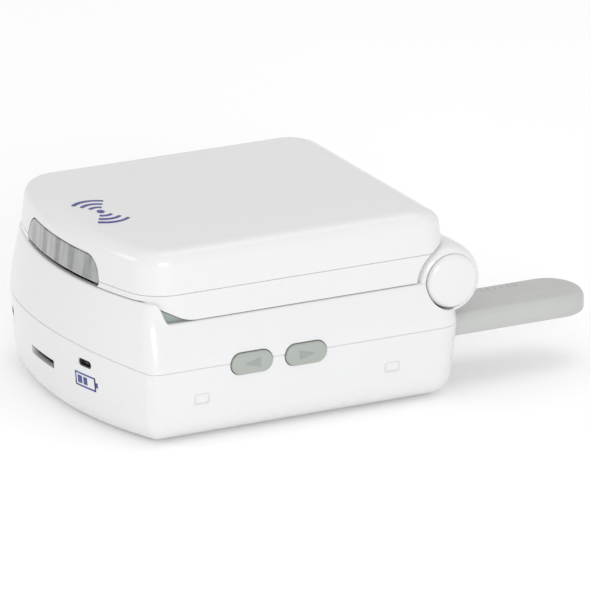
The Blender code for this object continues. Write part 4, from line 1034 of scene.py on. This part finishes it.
def buildBatterySign():
    # a plain battery sign under the charge socket: the case's four sides, its pole and two full cells
    low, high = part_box("charge_socket")
    sign = {"x": (low[0] + high[0]) / 2, "z": low[2] - 0.0052, "strip": 0.0006, "stretch": (1.6, 1.5)}
    outlines = []
    for lowU, highU, lowV, highV in ((-0.0038, 0.0032, 0.0013, 0.0017), (-0.0038, 0.0032, -0.0017, -0.0013),
                                     (-0.0038, -0.0034, -0.0013, 0.0013), (0.0028, 0.0032, -0.0013, 0.0013),
                                     (0.0032, 0.0039, -0.0006, 0.0006), (-0.0029, -0.0014, -0.0009, 0.0009),
                                     (-0.0009, 0.0004, -0.0009, 0.0009)):
        # narrow strips, so that each bar follows the bowed front
        count = math.ceil((highU - lowU) / sign["strip"])
        for step in range(count):
            left = lowU + (highU - lowU) * step / count
            right = lowU + (highU - lowU) * (step + 1) / count
            outlines.append([(left, lowV), (right, lowV), (right, highV), (left, highV)])
    wide, tall = sign["stretch"]

    def onFront(u, v):
        x = sign["x"] + u * wide
        z = sign["z"] + v * tall
        return x, frontFace(x, z), z

    curvedPrint("batterySign", outlines, onFront, "base", 0.00012)


buildLidMark()
buildBatterySign()


def buildSnapMarks():
    # small raised frames on the right side, over the casing's snap hooks; they are coloured a little darker
    # than the shell, a painted shade that makes the faint relief show
    snap = {"half": (0.0029, 0.0020), "inner": (0.0023, 0.0014), "proud": 0.00016, "z": 0.0155}
    for name, y in (("snapMark_front", frontY + 0.0318), ("snapMark_rear", frontY + 0.1038)):
        face = baseHigh[0] - draftAt(snap["z"])[0]
        outline = roundedAt((y, snap["z"]), *snap["half"], 0.0007)
        inside = roundedAt((y, snap["z"]), *snap["inner"], 0.0003)
        piece = makePiece(name, prismMesh(outline, face - 0.0003, face + snap["proud"], "X"))
        cutAway(piece, prismMesh(inside, face - 0.001, face + 0.001, "X"))
        softenEdges(piece, 0.0001)
        finishPiece(piece, "base", "white_casing", material=reliefShadeMaterial)


buildSnapMarks()
print("marks made")


# ---- CAD nodes that stay get their finish and softened edges
replaced = {"base_lower_casing", "base_upper_casing", "hinge_cap_left", "hinge_cap_right", "lid_outer_cover",
            "lid_screen_bezel", "signal_lens", "side_key_front", "side_key_rear", "aerial_upper_shell",
            "aerial_lower_shell"}
for part in frame["record"]["subparts"]:
    name = part["node"]
    if name in replaced:
        continue
    node = nodes[name]
    node.data.materials.clear()
    node.data.materials.append(finishes[part["material_slot"]])
    softenEdges(node, 0.00025, 2, 35)
print("kept nodes finished")


# ---- stage, lights and camera
studio = {
    "world": (1.0, 1.0, 1.0), "worldStrength": 0.80, "floorGlow": 0.10,
    "lamps": [
        # name, place, size, power
        ("overhead", (0.1, 0.3, 1.3), 0.8, 1.6),
        ("frontLeft", (-0.6, -1.4, 0.6), 0.5, 1.7),
        ("rightSide", (1.6, -0.5, 0.55), 0.6, 9.0),
    ],
}


def buildStage():
    floor = bpy.data.meshes.new("studioFloor")
    size = 6.0
    floor.from_pydata([(-size, -size, 0), (size, -size, 0), (size, size, 0), (-size, size, 0)], [],
                      [(0, 1, 2, 3)])
    plane = bpy.data.objects.new("studioFloor", floor)
    bpy.context.scene.collection.objects.link(plane)
    plane.location.z = -0.00005
    material = bpy.data.materials.new("pale floor")
    material.use_nodes = True
    shader = material.node_tree.nodes["Principled BSDF"]
    place = addNode(material.node_tree, "ShaderNodeTexCoord").outputs["Object"]
    tone = addMix(material.node_tree, addNoise(material.node_tree, place, 3.0), (0.93, 0.93, 0.93, 1.0),
                  (0.95, 0.95, 0.95, 1.0))
    wire(material.node_tree, tone, shader.inputs["Base Color"])
    shader.inputs["Roughness"].default_value = 0.9
    shader.inputs["Emission Color"].default_value = (1.0, 1.0, 1.0, 1.0)
    shader.inputs["Emission Strength"].default_value = studio["floorGlow"]
    shader.inputs["Specular IOR Level"].default_value = 0.1
    floor.materials.append(material)


def buildLights():
    world = bpy.data.worlds.new("studio world")
    world.use_nodes = True
    background = world.node_tree.nodes["Background"]
    background.inputs["Color"].default_value = (*studio["world"], 1.0)
    background.inputs["Strength"].default_value = studio["worldStrength"]
    bpy.context.scene.world = world
    bpy.context.scene.view_settings.view_transform = "Standard"
    for name, place, size, power in studio["lamps"]:
        lamp = bpy.data.lights.new(name, "AREA")
        lamp.shape = "DISK"
        lamp.size = size
        lamp.energy = power
        light = bpy.data.objects.new(name, lamp)
        light.location = place
        light.rotation_euler = (Vector((0.0, 0.0, 0.03)) - Vector(place)).to_track_quat("-Z", "Y").to_euler()
        bpy.context.scene.collection.objects.link(light)


camera = {"aim": (0.0044, -0.0016, 0.0274), "distance": 2.3067, "azimuth": 62.99, "elevation": 18.70,
          "lens": 408.17}


def buildCamera():
    data = bpy.data.cameras.new("camera")
    data.lens = camera["lens"]
    data.sensor_width = 36.0
    data.clip_start = 0.05
    data.clip_end = 20.0
    eye = bpy.data.objects.new("camera", data)
    azimuth = math.radians(camera["azimuth"])
    elevation = math.radians(camera["elevation"])
    away = Vector((math.sin(azimuth) * math.cos(elevation), -math.cos(azimuth) * math.cos(elevation),
                   math.sin(elevation)))
    eye.location = Vector(camera["aim"]) + away * camera["distance"]
    eye.rotation_euler = (math.pi / 2 - elevation, 0.0, azimuth)
    bpy.context.scene.collection.objects.link(eye)
    bpy.context.scene.camera = eye


buildStage()
buildLights()
buildCamera()
print("stage, lights and camera set")
